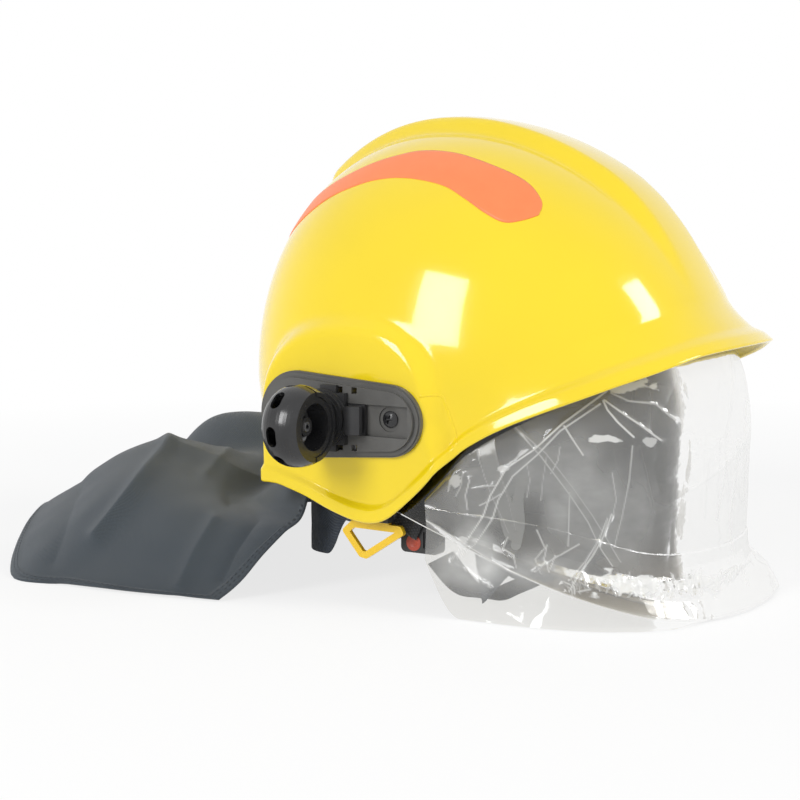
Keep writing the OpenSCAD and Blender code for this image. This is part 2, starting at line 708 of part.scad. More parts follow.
// Size knob: a lantern pinion between two racks, in a housing that closes the back of the band
housing_x0 = band_rear_x - 3;
housing_x1 = band_rear_x + 7.4;
housing_half = 24;
housing_z0 = band_z - 16;
housing_z1 = band_z + 16;
rack_x0 = band_rear_x + band_t + face_gap;
rack_x1 = rack_x0 + 2;
pinion_pin_r = 0.8;
pinion_core_r = pinion_r - 1.6;
pinion_pitch = 2 * PI * pinion_r / pinion_pins;
rack_foot = pinion_r + pinion_pin_r + face_gap;
rack_head = rack_foot + 4.4;
rack_tip = pinion_r - pinion_pin_r;
tooth_w = 1;
spindle_r = 2.95;
knob_r = 13;
knob_x = housing_x0 - face_gap;
knob_l = 11.7;
knob_flutes = 18;
module x_rod(x0, x1, r) translate([x0, 0, band_z]) rotate([0, 90, 0]) cylinder(h = x1 - x0, r = r);
module size_housing() {
    cavity = rack_head + face_gap;
    color([0.08, 0.08, 0.09]) difference() {
        union() {
            block([housing_x0, -housing_half, housing_z0], [housing_x1, housing_half, housing_z1]);
            block([housing_x0, -housing_half - 10, housing_z0 + 3],
                [band_rear_x - face_gap, housing_half + 10, housing_z1 - 3]);
        }
        block([rack_x0 - face_gap, -housing_half - 1, band_z - cavity],
            [rack_x1 + 1.6, housing_half + 1, band_z + cavity]);
        x_rod(housing_x0 - 1, rack_x0, spindle_r + run_gap);
    }
}
module size_knob() {
    color([0.12, 0.12, 0.13]) difference() {
        union() {
            x_rod(knob_x - knob_l, knob_x, knob_r);
            x_rod(knob_x - 0.1, rack_x1, spindle_r);
        }
        for (k = [1:knob_flutes]) rotate_about_knob(360 * k / knob_flutes)
            x_rod_at(knob_x - knob_l - 1, knob_x - 2, knob_r + 0.3, 1.3);
        x_rod(knob_x - knob_l - 1, knob_x - knob_l + 2, knob_r - 4);
    }
}
module rotate_about_knob(turn)
    translate([0, 0, band_z]) rotate([turn, 0, 0]) translate([0, 0, -band_z]) children();
module x_rod_at(x0, x1, dz, r) translate([0, 0, dz]) x_rod(x0, x1, r);
module size_pinion() {
    flange_x = rack_x1 + 0.6;
    color("silver") difference() {
        union() {
            x_rod(rack_x0, flange_x + 0.05, pinion_core_r);
            x_rod(flange_x, flange_x + 0.7, pinion_r + 1.2);
            for (k = [1:pinion_pins]) rotate_about_knob(360 * k / pinion_pins)
                x_rod_at(rack_x0, flange_x + 0.05, pinion_r, pinion_pin_r);
        }
        x_rod(rack_x0 - 1, rack_x1 + 0.3, spindle_r + run_gap);
    }
}
rack_l0 = 3;
rack_l1 = 37;
rack_teeth = 7;
module rack() {
    color([0.75, 0.76, 0.78])
    translate([rack_x1, 0, band_z]) rotate([90, 0, -90]) linear_extrude(rack_x1 - rack_x0) {
        translate([-rack_l1, rack_foot]) square([rack_l1 - rack_l0, rack_head - rack_foot]);
        for (k = [1:rack_teeth]) translate([-pinion_pitch * (k + 0.5) - tooth_w / 2, rack_tip])
            square([tooth_w, rack_foot - rack_tip + 1]);
    }
}
module size_rack_left() rack();
module size_rack_right() rotate_about_knob(180) rack();

// Points on a smooth curve through chosen points
function bend(a, b, c, d, t) = (2 * b + (c - a) * t + (2 * a - 5 * b + 4 * c - d) * t * t
    + (3 * b - a - 3 * c + d) * t * t * t) / 2;
function along(list, s) = let(n = len(list) - 1, i = min(floor(s), n - 1))
    bend(list[max(i - 1, 0)], list[i], list[i + 1], list[min(i + 2, n)], s - i);
function unit(v) = v / max(norm(v), 0.001);

// Webbing: a band that follows a path, with its width along a chosen direction
webbing_t = 1.6;
webbing_half = 9;
module webbing(path, widths, per) {
    n = (len(path) - 1) * per;
    function side(i, d) = let(
        s = i / per,
        p = along(path, s),
        q = unit(along(path, min(s + 0.05, len(path) - 1)) - along(path, max(s - 0.05, 0))),
        w0 = along(widths, s),
        w = unit(w0 - q * (w0 * q)),
        out = cross(q, w)
    ) [for (j = [-1:1]) p + w * (webbing_half * j) + out * d];
    sheet([for (i = [0:n]) side(i, -webbing_t / 2)], [for (i = [0:n]) side(i, webbing_t / 2)]);
}
strap_gap = 5.2;
strap_y = visor_half_w - visor_t - strap_gap;
strap_x0 = -60;
strap_z = 70;
ear_across = [0.39, 0, 0.92];
floor_across = [1, 0, 0];
strap_floor_x = 20;
strap_floor_z = 1.2;
slider_place = [-38.5, strap_y, 61];
strap_start = [[strap_x0 - 8, strap_y, strap_z + 3.4], slider_place, [-17, strap_y, 52]];
module strap_bore() y_rod(strap_x0, strap_z, strap_y - 5, strap_y + 5, rivet_r + 0.1);
module chin_strap_right() {
    color([0.06, 0.06, 0.07]) right_side() difference() {
        webbing(concat(strap_start, [[-3, strap_y - 0.4, 45.5]]), [for (i = [0:3]) ear_across], 3);
        strap_bore();
    }
}
module chin_strap_left() {
    color([0.06, 0.06, 0.07]) difference() {
        webbing(concat(strap_start, [
            [4, strap_y - 3.3, 36], [15, strap_y - 13.3, 13], [strap_floor_x, 76, 2.6],
            [strap_floor_x, 45, strap_floor_z], [strap_floor_x, 0, strap_floor_z],
            [strap_floor_x, -45, strap_floor_z], [strap_floor_x, -74, 2.6],
            [15, 15.3 - strap_y, 12], [6, 5.8 - strap_y, 28]
        ]), concat(
            [for (i = [0:2]) ear_across], [[0.7, 0, 0.7], [0.95, 0, 0.3]],
            [for (i = [0:4]) floor_across], [[0.95, 0, 0.3], [0.9, 0, 0.43]]
        ), 4);
        strap_bore();
    }
}
rivet_r = 2;
module strap_anchors() {
    color("silver") both_sides() {
        y_rod(strap_x0, strap_z, strap_y + webbing_t / 2 + face_gap, wall_in_y, 5);
        y_rod(strap_x0, strap_z, strap_y - 3, wall_in_y - 1, rivet_r);
        y_rod(strap_x0, strap_z, strap_y - 3.2, strap_y - webbing_t / 2 - face_gap, 4.2);
    }
}
slider_turn = 22.9;
module strap_slider() {
    color([0.1, 0.1, 0.1]) translate(slider_place) rotate([0, slider_turn, 0]) difference() {
        cube([9, 5.4, 2 * webbing_half + 5], center = true);
        cube([11, webbing_t + 0.9, 2 * webbing_half + 1], center = true);
    }
}

// Buckle under the right ear: a body that takes the strap's end, and a sprung release button
buckle_x0 = -17;
buckle_x1 = 7;
buckle_z0 = 30;
buckle_z1 = 45;
buckle_y0 = 96.5;
buckle_y1 = 103;
button_travel = 1.2;
button_r = 4.5;
button_x = buckle_x0 + 8;
button_z = buckle_z0 + button_r + 1;
button_proud = 0.3;
button_l = 3.5;
button_dish_r = 8;
button_dish = 0.4;
module buckle_body() {
    color([0.05, 0.05, 0.05]) right_side() difference() {
        union() {
            block([buckle_x0 + 3, buckle_y0, buckle_z0], [buckle_x1 - 3, buckle_y1, buckle_z1]);
            block([buckle_x0, buckle_y0, buckle_z0 + 3], [buckle_x1, buckle_y1, buckle_z1 - 3]);
            for (x = [buckle_x0 + 3, buckle_x1 - 3]) for (z = [buckle_z0 + 3, buckle_z1 - 3])
                y_rod(x, z, buckle_y0, buckle_y1, 3);
        }
        y_rod(button_x, button_z, buckle_y1 - button_l, buckle_y1 + 1, button_r + run_gap);
        block([button_x + 6, buckle_y1 - 1, buckle_z0 + 3], [buckle_x1 - 2.5, buckle_y1 + 1, buckle_z1 - 3]);
    }
}
module buckle_button() {
    color([0.62, 0.12, 0.08]) right_side() difference() {
        y_rod(button_x, button_z, buckle_y1 - button_l + button_travel + face_gap, buckle_y1 + button_proud,
            button_r);
        translate([button_x, buckle_y1 + button_proud + button_dish_r - button_dish, button_z])
            sphere(r = button_dish_r);
    }
}
module chin_cup() {
    z0 = strap_floor_z + webbing_t / 2 + face_gap;
    half_l = 28;
    half_w = 16;
    soft = 10;
    color([0.12, 0.12, 0.12]) difference() {
        translate([strap_floor_x, 0, z0]) linear_extrude(8) {
            square([2 * (half_w - soft), 2 * half_l], center = true);
            square([2 * half_w, 2 * (half_l - soft)], center = true);
            for (sx = [-1, 1]) for (sy = [-1, 1])
                translate([sx * (half_w - soft), sy * (half_l - soft)]) circle(r = soft);
        }
        translate([strap_floor_x, 0, z0 + 4.5 + 55]) sphere(r = 55);
    }
}

// Yellow loops that swing on a pin under each ear
loop_x = -28;
loop_y = 111;
loop_z = 50.5;
loop_pin_r = 1.5;
knuckle_r = 2.6;
knuckle_half = 8.7;
loop_bar = 1.9;
loop_corners = [[-47, 40], [-42.5, 44.2], [-13, 43.8], [-12, 42], [-34, 27.5], [-37, 28]];
module bar2d(p, q, r) {
    d = q - p;
    translate(p) circle(r = r);
    translate(p) rotate([0, 0, atan2(d[1], d[0])]) translate([0, -r]) square([norm(d), 2 * r]);
}
module x_pin(x0, x1, y, z, r) translate([x0, y, z]) rotate([0, 90, 0]) cylinder(h = x1 - x0, r = r);
module strap_loop() {
    n = len(loop_corners);
    color([0.98, 0.84, 0.1]) difference() {
        union() {
            y_slab(loop_y - 1.4, loop_y + 1.4) {
                for (i = [0:n - 1]) bar2d(loop_corners[i], loop_corners[(i + 1) % n], loop_bar);
                translate([loop_x - knuckle_half, 43]) square([2 * knuckle_half, loop_z - 43]);
            }
            x_pin(loop_x - knuckle_half, loop_x + knuckle_half, loop_y, loop_z, knuckle_r);
        }
        x_pin(loop_x - knuckle_half - 1, loop_x + knuckle_half + 1, loop_y, loop_z, loop_pin_r + run_gap);
    }
}
module strap_loop_left() strap_loop();
module strap_loop_right() right_side() strap_loop();
bracket_ear = 3;
bracket_h = 16;
module loop_bracket() {
    ear0 = knuckle_half + face_gap;
    ear1 = ear0 + bracket_ear;
    difference() {
        union() {
            block([loop_x - ear1, wall_in_y - 3, loop_z - knuckle_r],
                [loop_x + ear1, wall_in_y, loop_z + bracket_h]);
            for (x = [loop_x - ear1, loop_x + ear0]) {
                x_pin(x, x + bracket_ear, loop_y, loop_z, knuckle_r);
                block([x, loop_y, loop_z - knuckle_r], [x + bracket_ear, wall_in_y - 2, loop_z + knuckle_r]);
            }
        }
        x_pin(loop_x - ear1 - 1, loop_x + ear1 + 1, loop_y, loop_z, loop_pin_r + run_gap);
    }
}
module loop_brackets() color([0.2, 0.2, 0.2]) both_sides() loop_bracket();
module loop_pins() {
    half = knuckle_half + face_gap + bracket_ear;
    color("silver") both_sides() {
        x_pin(loop_x - half, loop_x + half, loop_y, loop_z, loop_pin_r);
        x_pin(loop_x - half - 1, loop_x - half, loop_y, loop_z, loop_pin_r + 0.8);
    }
}

// Cape: a rail inside the back of the shell, studs, and the cloth over a net of chosen points
rail_z0 = rear_rim_z + 7;
rail_z1 = rail_z0 + 10;
rail_in = shell_t + 0.7;
rail_t = 1.8;
rail_a0 = 138;
rail_steps = 30;
module cape_rail() {
    function rail(inset) = [for (i = [0:rail_steps]) let(a = mix(rail_a0, 360 - rail_a0, i / rail_steps))
        [for (j = [0:2]) shell_point(a, mix(rail_z1, rail_z0, j / 2), inset)]];
    color([0.12, 0.12, 0.13]) sheet(rail(rail_in), rail(rail_in + rail_t));
}
cape_in = rail_in + rail_t + 0.4 + cape_t / 2;
cape_turns = [246, 232, 221, 210, 200, 189, 178, 166, 152, 138, 122];
cape_rows = [
    [[-76, -113, 46], [-82, -121, 36], [-90, -131, 24], [-98, -141, 11], [-107, -150, 1.6]],
    [[-96, -106, 46], [-106, -121, 40], [-124, -137, 28], [-142, -150, 14], [-156, -159, 1.6]],
    [[-118, -92, 45], [-136, -108, 48], [-163, -127, 42], [-187, -146, 21], [-205, -163, 1.6]],
    [[-136, -72, 45], [-157, -86, 54], [-193, -106, 56], [-226, -131, 34], [-250, -162, 1.6]],
    [[-147, -48, 45], [-170, -56, 60], [-217, -63, 70], [-262, -72, 52], [-299, -86, 24]],
    [[-153, -22, 45], [-177, -25, 58], [-226, -27, 66], [-275, -31, 48], [-316, -36, 8]],
    [[-154, 4, 45], [-178, 4, 56], [-223, 6, 54], [-262, 8, 38], [-298, 12, 4]],
    [[-151, 31, 45], [-173, 35, 62], [-224, 42, 76], [-268, 50, 64], [-310, 56, 18]],
    [[-140, 62, 45], [-160, 71, 58], [-203, 83, 62], [-242, 94, 42], [-276, 105, 3]],
    [[-118, 86, 45], [-133, 99, 46], [-160, 118, 36], [-184, 134, 17], [-201, 146, 1.6]],
    [[-88, 106, 46], [-94, 114, 40], [-104, 124, 28], [-112, 133, 14], [-118, 140, 1.6]]
];
cape_held_z = [rail_z1 - 3, rail_z0 - 9];
cape_net = [for (i = [0:len(cape_turns) - 1])
    concat([for (z = cape_held_z) dome_point(cape_turns[i], z, cape_in)], cape_rows[i])];
cape_nu = 38;
cape_nv = 15;
function cape_mid(u, v) = along([for (c = cape_net) along(c, v)], u);
function cape_normal(u, v) = let(
    du = cape_mid(min(u + 0.1, len(cape_net) - 1), v) - cape_mid(max(u - 0.1, 0), v),
    dv = cape_mid(u, min(v + 0.1, len(cape_net[0]) - 1)) - cape_mid(u, max(v - 0.1, 0))
) unit(cross(du, dv));
function cape_grid(d) = [
    for (i = [0:cape_nu]) let(u = i * (len(cape_net) - 1) / cape_nu) [for (j = [0:cape_nv]) let(
        v = j * (len(cape_net[0]) - 1) / cape_nv,
        q = cape_mid(u, v) + cape_normal(u, v) * d
    ) [q[0], q[1], max(q[2], d > 0 ? 0.3 + cape_t : 0.3)]]
];
module cape() color([0.2, 0.23, 0.27]) sheet(cape_grid(-cape_t / 2), cape_grid(cape_t / 2));
stud_gap = 0.45;
stud_r = 4.5;
stud_t = 2;
stud_places = [2.5, 3.8, 5.1, 6.3, 7.4, 8.4];
stud_row = 0.25;
module cape_studs() {
    color([0.15, 0.15, 0.16]) for (u = stud_places) {
        way = -cape_normal(u, stud_row);
        translate(cape_mid(u, stud_row) + way * (cape_t / 2 + stud_gap))
            rotate([0, acos(way[2]), atan2(way[1], way[0])]) cylinder(h = stud_t, r = stud_r);
    }
}

// Curtains of the same cloth over the ears: they hang from the liner's lower edge inside the visor,
// fall in folds, lean forward and leave a notch for the chin strap. The right one is gathered up.
curtain_t = 1.6;
curtain_z1 = liner_z0 - 0.5;
curtain_low = 3;
curtain_gather = [17, 38];
curtain_gather_u = [0.2, 0.34];
curtain_front_u = [0.74, 0.86];
curtain_front_rise = 22;
curtain_turns = [124, 67];
curtain_in = liner_gap + 1.4;
curtain_lean = 23;
curtain_flare = 4;
curtain_fold = 2.6;
curtain_folds = 2.5;
curtain_nu = 24;
curtain_nv = 9;
notch_x = [-4, 27];
notch_z = 40;
function curtain_hem(gather, u) = curtain_low
    + mix(gather[0], gather[1], smooth(curtain_gather_u[0], curtain_gather_u[1], u))
        * smooth(curtain_front_u[1], curtain_front_u[0], u)
    + curtain_front_rise * smooth(curtain_front_u[1], 1, u);
function curtain_grid(gather, d) = [for (i = [0:curtain_nu]) [for (j = [0:curtain_nv]) let(
    u = i / curtain_nu,
    v = j / curtain_nv,
    a = mix(curtain_turns[0], curtain_turns[1], u),
    top = dome_point(a, curtain_z1, curtain_in),
    fold = curtain_fold * sin(360 * curtain_folds * u) * smooth(0, 0.5, v)
) [
    top[0] + curtain_lean * u * u * v + d * cos(a),
    top[1] + (fold + d) * sin(a) + curtain_flare * u * v,
    mix(curtain_z1, curtain_hem(gather, u), v)
]]];
module ear_curtain(gather) {
    color([0.2, 0.23, 0.27]) difference() {
        sheet(curtain_grid(gather, curtain_t / 2), curtain_grid(gather, -curtain_t / 2));
        block([notch_x[0], liner_gap, -1], [notch_x[1], seat_y, notch_z]);
    }
}
module ear_curtain_left() ear_curtain([0, 0]);
module ear_curtain_right() right_side() ear_curtain(curtain_gather);

// Clear film that lies loose over the visor and reaches the table on the near side
film_gap = 3;
film_touch = 0.1;
film_t = 0.8;
film_skip = 2;
film_upper = 5;
bell_levels = [0.78, 0.56, 0.4, 0.27, 0];
bell_lookup = [for (k = [len(bell_steps) - 1:-1:0]) [bell_steps[k][1], bell_steps[k][0]]];
function film_point(a, k, up) = let(
    share = k <= film_upper ? 1 : bell_levels[min(k - film_upper - 1, 4)],
    loose = k <= film_upper ? 0.75 + 0.5 * sin(36 * k) : share,
    lift = up + film_touch + (film_gap - film_touch) * loose,
    r = visor_reach(a, -lift),
    foot = pivot_x + visor_reach(a, 0),
    low = lip_z(foot),
    knee = bell_top(foot),
    skirt = k > film_upper + 5 ? smooth(-84, -72, a) * smooth(-20, -34, a) : 0,
    z_top = min(rim_z(foot) - 4, brim_z - 8),
    z = k <= film_upper ? mix(z_top, knee, k / film_upper)
        : k > film_upper + 5 ? max(mix(low - 1.5, film_low, skirt), film_low)
        : mix(low, knee, share),
    out = bell_out * smooth(10, lip_front_x, foot) * lookup(share, bell_lookup) + film_spread * skirt,
    x = z > pivot_z ? sqrt(max(r * r - pow(z - pivot_z, 2), 0)) : r,
    y = (visor_half_w + lift) * signed_pow(sin(a), 2 / visor_pow)
) [pivot_x + x + out * cos(a), y + out * sin(a), z];
film_low = 0.4;
film_spread = 7;
function film_grid(up) = [for (i = [film_skip:visor_stations - film_skip]) [for (k = [0:film_upper + 6])
    film_point(visor_end_deg * (2 * i / visor_stations - 1), k, up)]];
module visor_film() color([0.9, 0.95, 1], 0.25) sheet(film_grid(film_t), film_grid(0));

// Orange stripe, from one front end over the back to the other: chosen pairs of points on its
// upper and lower edge, each a turn and a height in percent of the dome's
stripe_t = 0.6;
stripe_lift = 0.5;
function dome_height(percent) = equator_z + dome_h * percent / 100;
band_edges = [
    [49.6, 67.6, 51, 65.6], [48.2, 71.1, 56, 63.7], [49.4, 76.8, 61, 63], [54, 81.3, 65.5, 66.2],
    [64.8, 86.5, 71, 71.8], [75.2, 89.6, 77.5, 76.8], [88, 90.7, 88.2, 79.7], [100, 88.9, 98, 79.3],
    [112, 85.9, 108, 77], [127, 79.9, 122, 71.5], [145, 72.2, 142, 58.8], [163, 67.3, 162, 50.7],
    [180, 65.5, 180, 47.9]
];
band_steps = 24;
function stripe_rows(lift) = [for (i = [-band_steps:band_steps]) let(
    s = (band_steps - abs(i)) * (len(band_edges) - 1) / band_steps,
    e = along(band_edges, s)
) [for (j = [0:3]) let(
    k = j / 3,
    p = shell_point(mix(e[0], e[2], k), dome_height(mix(e[1], e[3], k)), -lift)
) [p[0], (i < 0 ? -1 : 1) * p[1], p[2]]]];
module reflective_band()
    color([1, 0.5, 0.3]) sheet(stripe_rows(stripe_lift), stripe_rows(stripe_lift + stripe_t));

outer_shell();
reflective_band();
side_plate_right();
side_plate_left();
plate_screws();
plate_nuts();
pivot_spacers();
pivot_bolts();
visor();
visor_film();
lamp_carriage();
lamp_latch();
lamp_turntable();
lamp_cup();
lamp_collar();
lamp_insert();
impact_liner();
liner_spacers();
headband();
brow_pad();
crown_straps();
crown_pad();
harness_clips();
size_housing();
size_knob();
size_pinion();
size_rack_left();
size_rack_right();
chin_strap_right();
chin_strap_left();
strap_anchors();
strap_slider();
buckle_body();
buckle_button();
chin_cup();
strap_loop_right();
strap_loop_left();
loop_brackets();
loop_pins();
cape_rail();
cape_studs();
cape();
ear_curtain_right();
ear_curtain_left();
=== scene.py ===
import math

import bpy
import numpy as np
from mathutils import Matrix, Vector, noise


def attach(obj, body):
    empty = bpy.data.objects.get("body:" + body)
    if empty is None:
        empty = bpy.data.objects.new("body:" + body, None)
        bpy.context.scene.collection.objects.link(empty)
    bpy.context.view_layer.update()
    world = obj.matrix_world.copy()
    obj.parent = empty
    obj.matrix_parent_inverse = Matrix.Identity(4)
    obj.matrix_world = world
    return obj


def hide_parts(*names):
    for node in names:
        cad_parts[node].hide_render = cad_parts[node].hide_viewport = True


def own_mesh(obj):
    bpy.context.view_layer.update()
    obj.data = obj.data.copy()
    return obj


# Fire helmet: the looks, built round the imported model. Shapes are worked out in millimetres in the
# frame of the model, and each mesh is written in metres.
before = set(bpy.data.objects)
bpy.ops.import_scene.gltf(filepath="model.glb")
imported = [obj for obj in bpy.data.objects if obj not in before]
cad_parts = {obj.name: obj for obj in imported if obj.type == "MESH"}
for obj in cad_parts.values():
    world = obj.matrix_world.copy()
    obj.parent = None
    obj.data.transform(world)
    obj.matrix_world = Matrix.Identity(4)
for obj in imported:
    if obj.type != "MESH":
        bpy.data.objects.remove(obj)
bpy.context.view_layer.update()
MM = 0.001

# Driving sizes, as on the model
dome_front = 168
dome_rear = 118
dome_half_w = 118
crown_x = -35
equator_z = 120
dome_h = 142
shell_t = 3
crest_h = 8
crest_half_w = 17
brim_z = 147
rear_rim_z = 66
ear_z = 49
ear_x = -25
brim_out = 19
rim_out = 3.5
rim_soft = 6
rear_tuck = 9
seat_y = 121.5
pivot_x = -35
pivot_z = 89
visor_r = dome_front - 1
visor_half_w = dome_half_w - 5
visor_t = 2.5
visor_top_deg = 22
bell_out = 21
bell_h = 27
plate_z = 104.5
plate_rear_x = -71
head_x = -12
liner_z0 = 128
liner_gap = 22

# Camera in millimetres and degrees. The folds of the loose film and of the cape are laid with it,
# at the places where the photograph shows them.
camera_at = np.array([453.99, -891.01, 222.0])
camera_yaw = 30.903
camera_pitch = -6.745
camera_lens = 76.64
camera_sensor = 36
frame_px = 800


def smooth(a, b, v):
    t = np.clip((np.asarray(v, float) - a) / (b - a), 0, 1)
    return t * t * (3 - 2 * t)


def signed_pow(v, p):
    return np.sign(v) * np.abs(v) ** p


def cosd(a):
    return np.cos(np.radians(a))


def sind(a):
    return np.sin(np.radians(a))


def unit(v):
    return v / np.maximum(np.linalg.norm(v, axis=-1, keepdims=True), 1e-9)


def run_along(line):
    """Length from the start of a line to each of its points."""
    return np.concatenate([[0], np.cumsum(np.linalg.norm(np.diff(line, axis=0), axis=-1))])


def cloth_uv(run_u, run_v):
    """Flat places of a grid's points in metres, from its lengths both ways."""
    return np.stack(np.meshgrid(run_u, run_v, indexing="ij"), -1) * MM


def fractal(points, scale, octaves, shift=0):
    """Soft noise at each point of a grid."""
    places = (points.reshape(-1, 3) * np.array(scale) + np.array([0, shift, 0])).tolist()
    return np.array([noise.fractal(q, 1.0, 2.0, octaves) for q in places]).reshape(points.shape[:-1])


# The shell's surface: turn a round the crown in degrees, height z, and inset from the outside
plan_pow = 2.25
front_pow = 1.85
side_pow = 2.1
rear_pow = 2.1
wall_taper = 0.05
band_h = 9
brim_h = 27
crest_soft = 10
crest_front = [15, 50]
crest_rear = [131, 123]
boss_x = plate_rear_x + 31
boss_r = 51
boss_rear_r = 62
boss_lean = 0.35
boss_pow = 2.4
boss_edge = [1.1, 0.88]
kink_x = ear_x + 43
rim_points = np.array([
    [-200, rear_rim_z + 1], [ear_x - 64, rear_rim_z], [ear_x - 44, ear_z + 12], [ear_x - 25, ear_z + 5],
    [ear_x - 12, ear_z + 1.3], [ear_x, ear_z], [ear_x + 8, ear_z + 1.7], [ear_x + 14, ear_z + 5],
    [ear_x + 26, ear_z + 15.3], [ear_x + 37, ear_z + 26], [kink_x + 1, ear_z + 35.3], [kink_x + 8, 91.6],
    [kink_x + 21, 100], [kink_x + 34, 107.2], [kink_x + 48, 114], [kink_x + 64, 121.7],
    [kink_x + 76, 127.7], [kink_x + 90, 134.1], [kink_x + 105, brim_z - 5], [kink_x + 118, brim_z - 1.5],
    [kink_x + 130, brim_z],
], float)


def rim_z(x):
    """Height of the rim's line, its corners softened over rim_soft to both sides."""
    reach = np.linspace(-rim_soft, rim_soft, 2 * rim_soft + 1)
    weight = 1 - np.abs(reach) / (rim_soft + 1)
    total = sum(w * np.interp(x + d, rim_points[:, 0], rim_points[:, 1]) for d, w in zip(reach, weight))
    return total / weight.sum()


def dome_point(a, z, inset):
    a, z = np.broadcast_arrays(np.asarray(a, float), np.asarray(z, float))
    c = cosd(a)
    power = side_pow + np.where(c > 0, front_pow - side_pow, rear_pow - side_pow) * c ** 2
    t = np.clip((z - equator_z) / (dome_h - inset), 0, 1)
    share = (1 - t ** power) ** (1 / power)
    deep = np.maximum(0, equator_z - z)
    tuck = rear_tuck * smooth(0.1, -0.8, c) * (deep / (equator_z - rear_rim_z)) ** 2
    cut = inset + deep * wall_taper + tuck
    length = np.where(c >= 0, dome_front, dome_rear) - cut
    x = crown_x + length * share * signed_pow(c, 2 / plan_pow)
    y = (dome_half_w - cut) * share * signed_pow(sind(a), 2 / plan_pow)
    return np.stack([x, y, z + 0 * a], -1)


def rim_flare(a, dz):
    front = smooth(0.15, 0.95, cosd(a))
    side = rim_out * (1 - 0.5 * smooth(0.3, -0.7, cosd(a))) * smooth(band_h, band_h * 0.55, dz)
    return side + (brim_out - rim_out) * front * np.clip(1 - dz / brim_h, 0, 1) ** 1.7


def boss_share(x, z):
    up = np.maximum(0, z - plate_z)
    down = np.maximum(0, plate_z - z)
    reach = np.where(x < boss_x, boss_rear_r, boss_r + down * boss_lean)
    q = ((np.abs(x - boss_x) / reach) ** boss_pow + (up / boss_r) ** boss_pow) ** (1 / boss_pow)
    return smooth(*boss_edge, q)


def crest_lift(x, y, z):
    turn = np.degrees(np.arctan2(z - equator_z, x - crown_x))
    across = smooth(crest_half_w + crest_soft, crest_half_w, np.abs(y))
    return crest_h * across * smooth(*crest_rear, turn) * smooth(*crest_front, turn)


def shell_point(a, z, inset):
    p = dome_point(a, z, inset)
    x, y0, z = p[..., 0], p[..., 1], p[..., 2]
    seat = boss_share(x, z) * smooth(0.2, 0.5, np.abs(sind(a)))
    y = y0 * (1 - seat) + np.sign(y0) * (seat_y - inset) * seat
    lift = crest_lift(x, y0, z)
    ux, uz = x - crown_x, z - equator_z
    reach = np.maximum(np.hypot(ux, uz), 1)
    out = rim_flare(a, z - rim_z(x))
    return np.stack([x + ux * lift / reach + out * cosd(a), y + out * sind(a), z + uz * lift / reach], -1)


def side_name(side):
    return "left" if side > 0 else "right"


def rim_x(a):
    return crown_x + np.where(cosd(a) >= 0, dome_front, dome_rear) * signed_pow(cosd(a), 2 / plan_pow)


def camera_ahead():
    yaw, pitch = math.radians(camera_yaw), math.radians(camera_pitch)
    return np.array([-math.sin(yaw) * math.cos(pitch), math.cos(yaw) * math.cos(pitch), math.sin(pitch)])


def to_pixels(points):
    """Where points in millimetres fall in the photograph's frame."""
    ahead = camera_ahead()
    right = unit(np.cross(ahead, [0, 0, 1.0]))
    up = np.cross(right, ahead)
    away = points - camera_at
    scale = camera_lens / camera_sensor * frame_px / (away @ ahead)
    return np.stack([frame_px / 2 + scale * (away @ right), frame_px / 2 - scale * (away @ up)], -1)


def line_distance(places, line):
    """How far each place is from a line through a few points."""
    best = np.full(places.shape[:-1], 1e9)
    for a, b in zip(np.array(line[:-1], float), np.array(line[1:], float)):
        t = np.clip(((places - a) @ (b - a)) / ((b - a) @ (b - a)), 0, 1)
        best = np.minimum(best, np.linalg.norm(places - a - t[..., None] * (b - a), axis=-1))
    return best


def add_to_scene(name, data):
    obj = bpy.data.objects.new(name, data)
    bpy.context.scene.collection.objects.link(obj)
    return obj


# Mesh helpers
def make_object(name, points, faces, material, body="helmet"):
    """A smooth mesh from points in millimetres, that rides on a body."""
    mesh = bpy.data.meshes.new(name)
    mesh.from_pydata((np.asarray(points, float).reshape(-1, 3) * MM).tolist(), [], faces)
    mesh.validate()
    mesh.polygons.foreach_set("use_smooth", [True] * len(mesh.polygons))
    mesh.update()
    obj = add_to_scene(name, mesh)
    mesh.materials.append(material)
    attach(obj, body)
    return obj


def grid_faces(nu, nv, wrap_u=False, wrap_v=False, base=0):
    """Quads of nu rows of nv points each, counted row by row."""
    i = np.arange(nu if wrap_u else nu - 1)[:, None]
    j = np.arange(nv if wrap_v else nv - 1)[None, :]
    k, m = (i + 1) % nu, (j + 1) % nv
    quads = np.stack([i * nv + j + 0 * m, k * nv + j, k * nv + m, i * nv + m], -1)
    return (quads.reshape(-1, 4) + base).tolist()


def grid_normals(points):
    """Unit normals of a grid of points, from its neighbours."""
    return unit(np.cross(np.gradient(points, axis=0), np.gradient(points, axis=1)))


def outward_normals(points, centre, level=False):
    """Normals that point away from a centre, or with level from the upright line through it."""
    normal = grid_normals(points)
    outward = points - np.array(centre)
    if level:
        outward[..., 2] = 0
    return normal * np.sign((normal * outward).sum(-1))[..., None]


def upward_normals(points):
    normal = grid_normals(points)
    return normal * np.sign(normal[..., 2:3] + 1e-6)


def add_uv(obj, uv):
    """Places on the flat cloth: uv holds one pair for each vertex."""
    layer = obj.data.uv_layers.new(name="cloth")
    loops = np.zeros(len(obj.data.loops), int)
    obj.data.loops.foreach_get("vertex_index", loops)
    layer.data.foreach_set("uv", np.asarray(uv, np.float32).reshape(-1, 2)[loops].ravel())


def add_weight(obj, name, values):
    layer = obj.data.attributes.new(name, "FLOAT", "POINT")
    layer.data.foreach_set("value", np.asarray(values, np.float32).ravel())


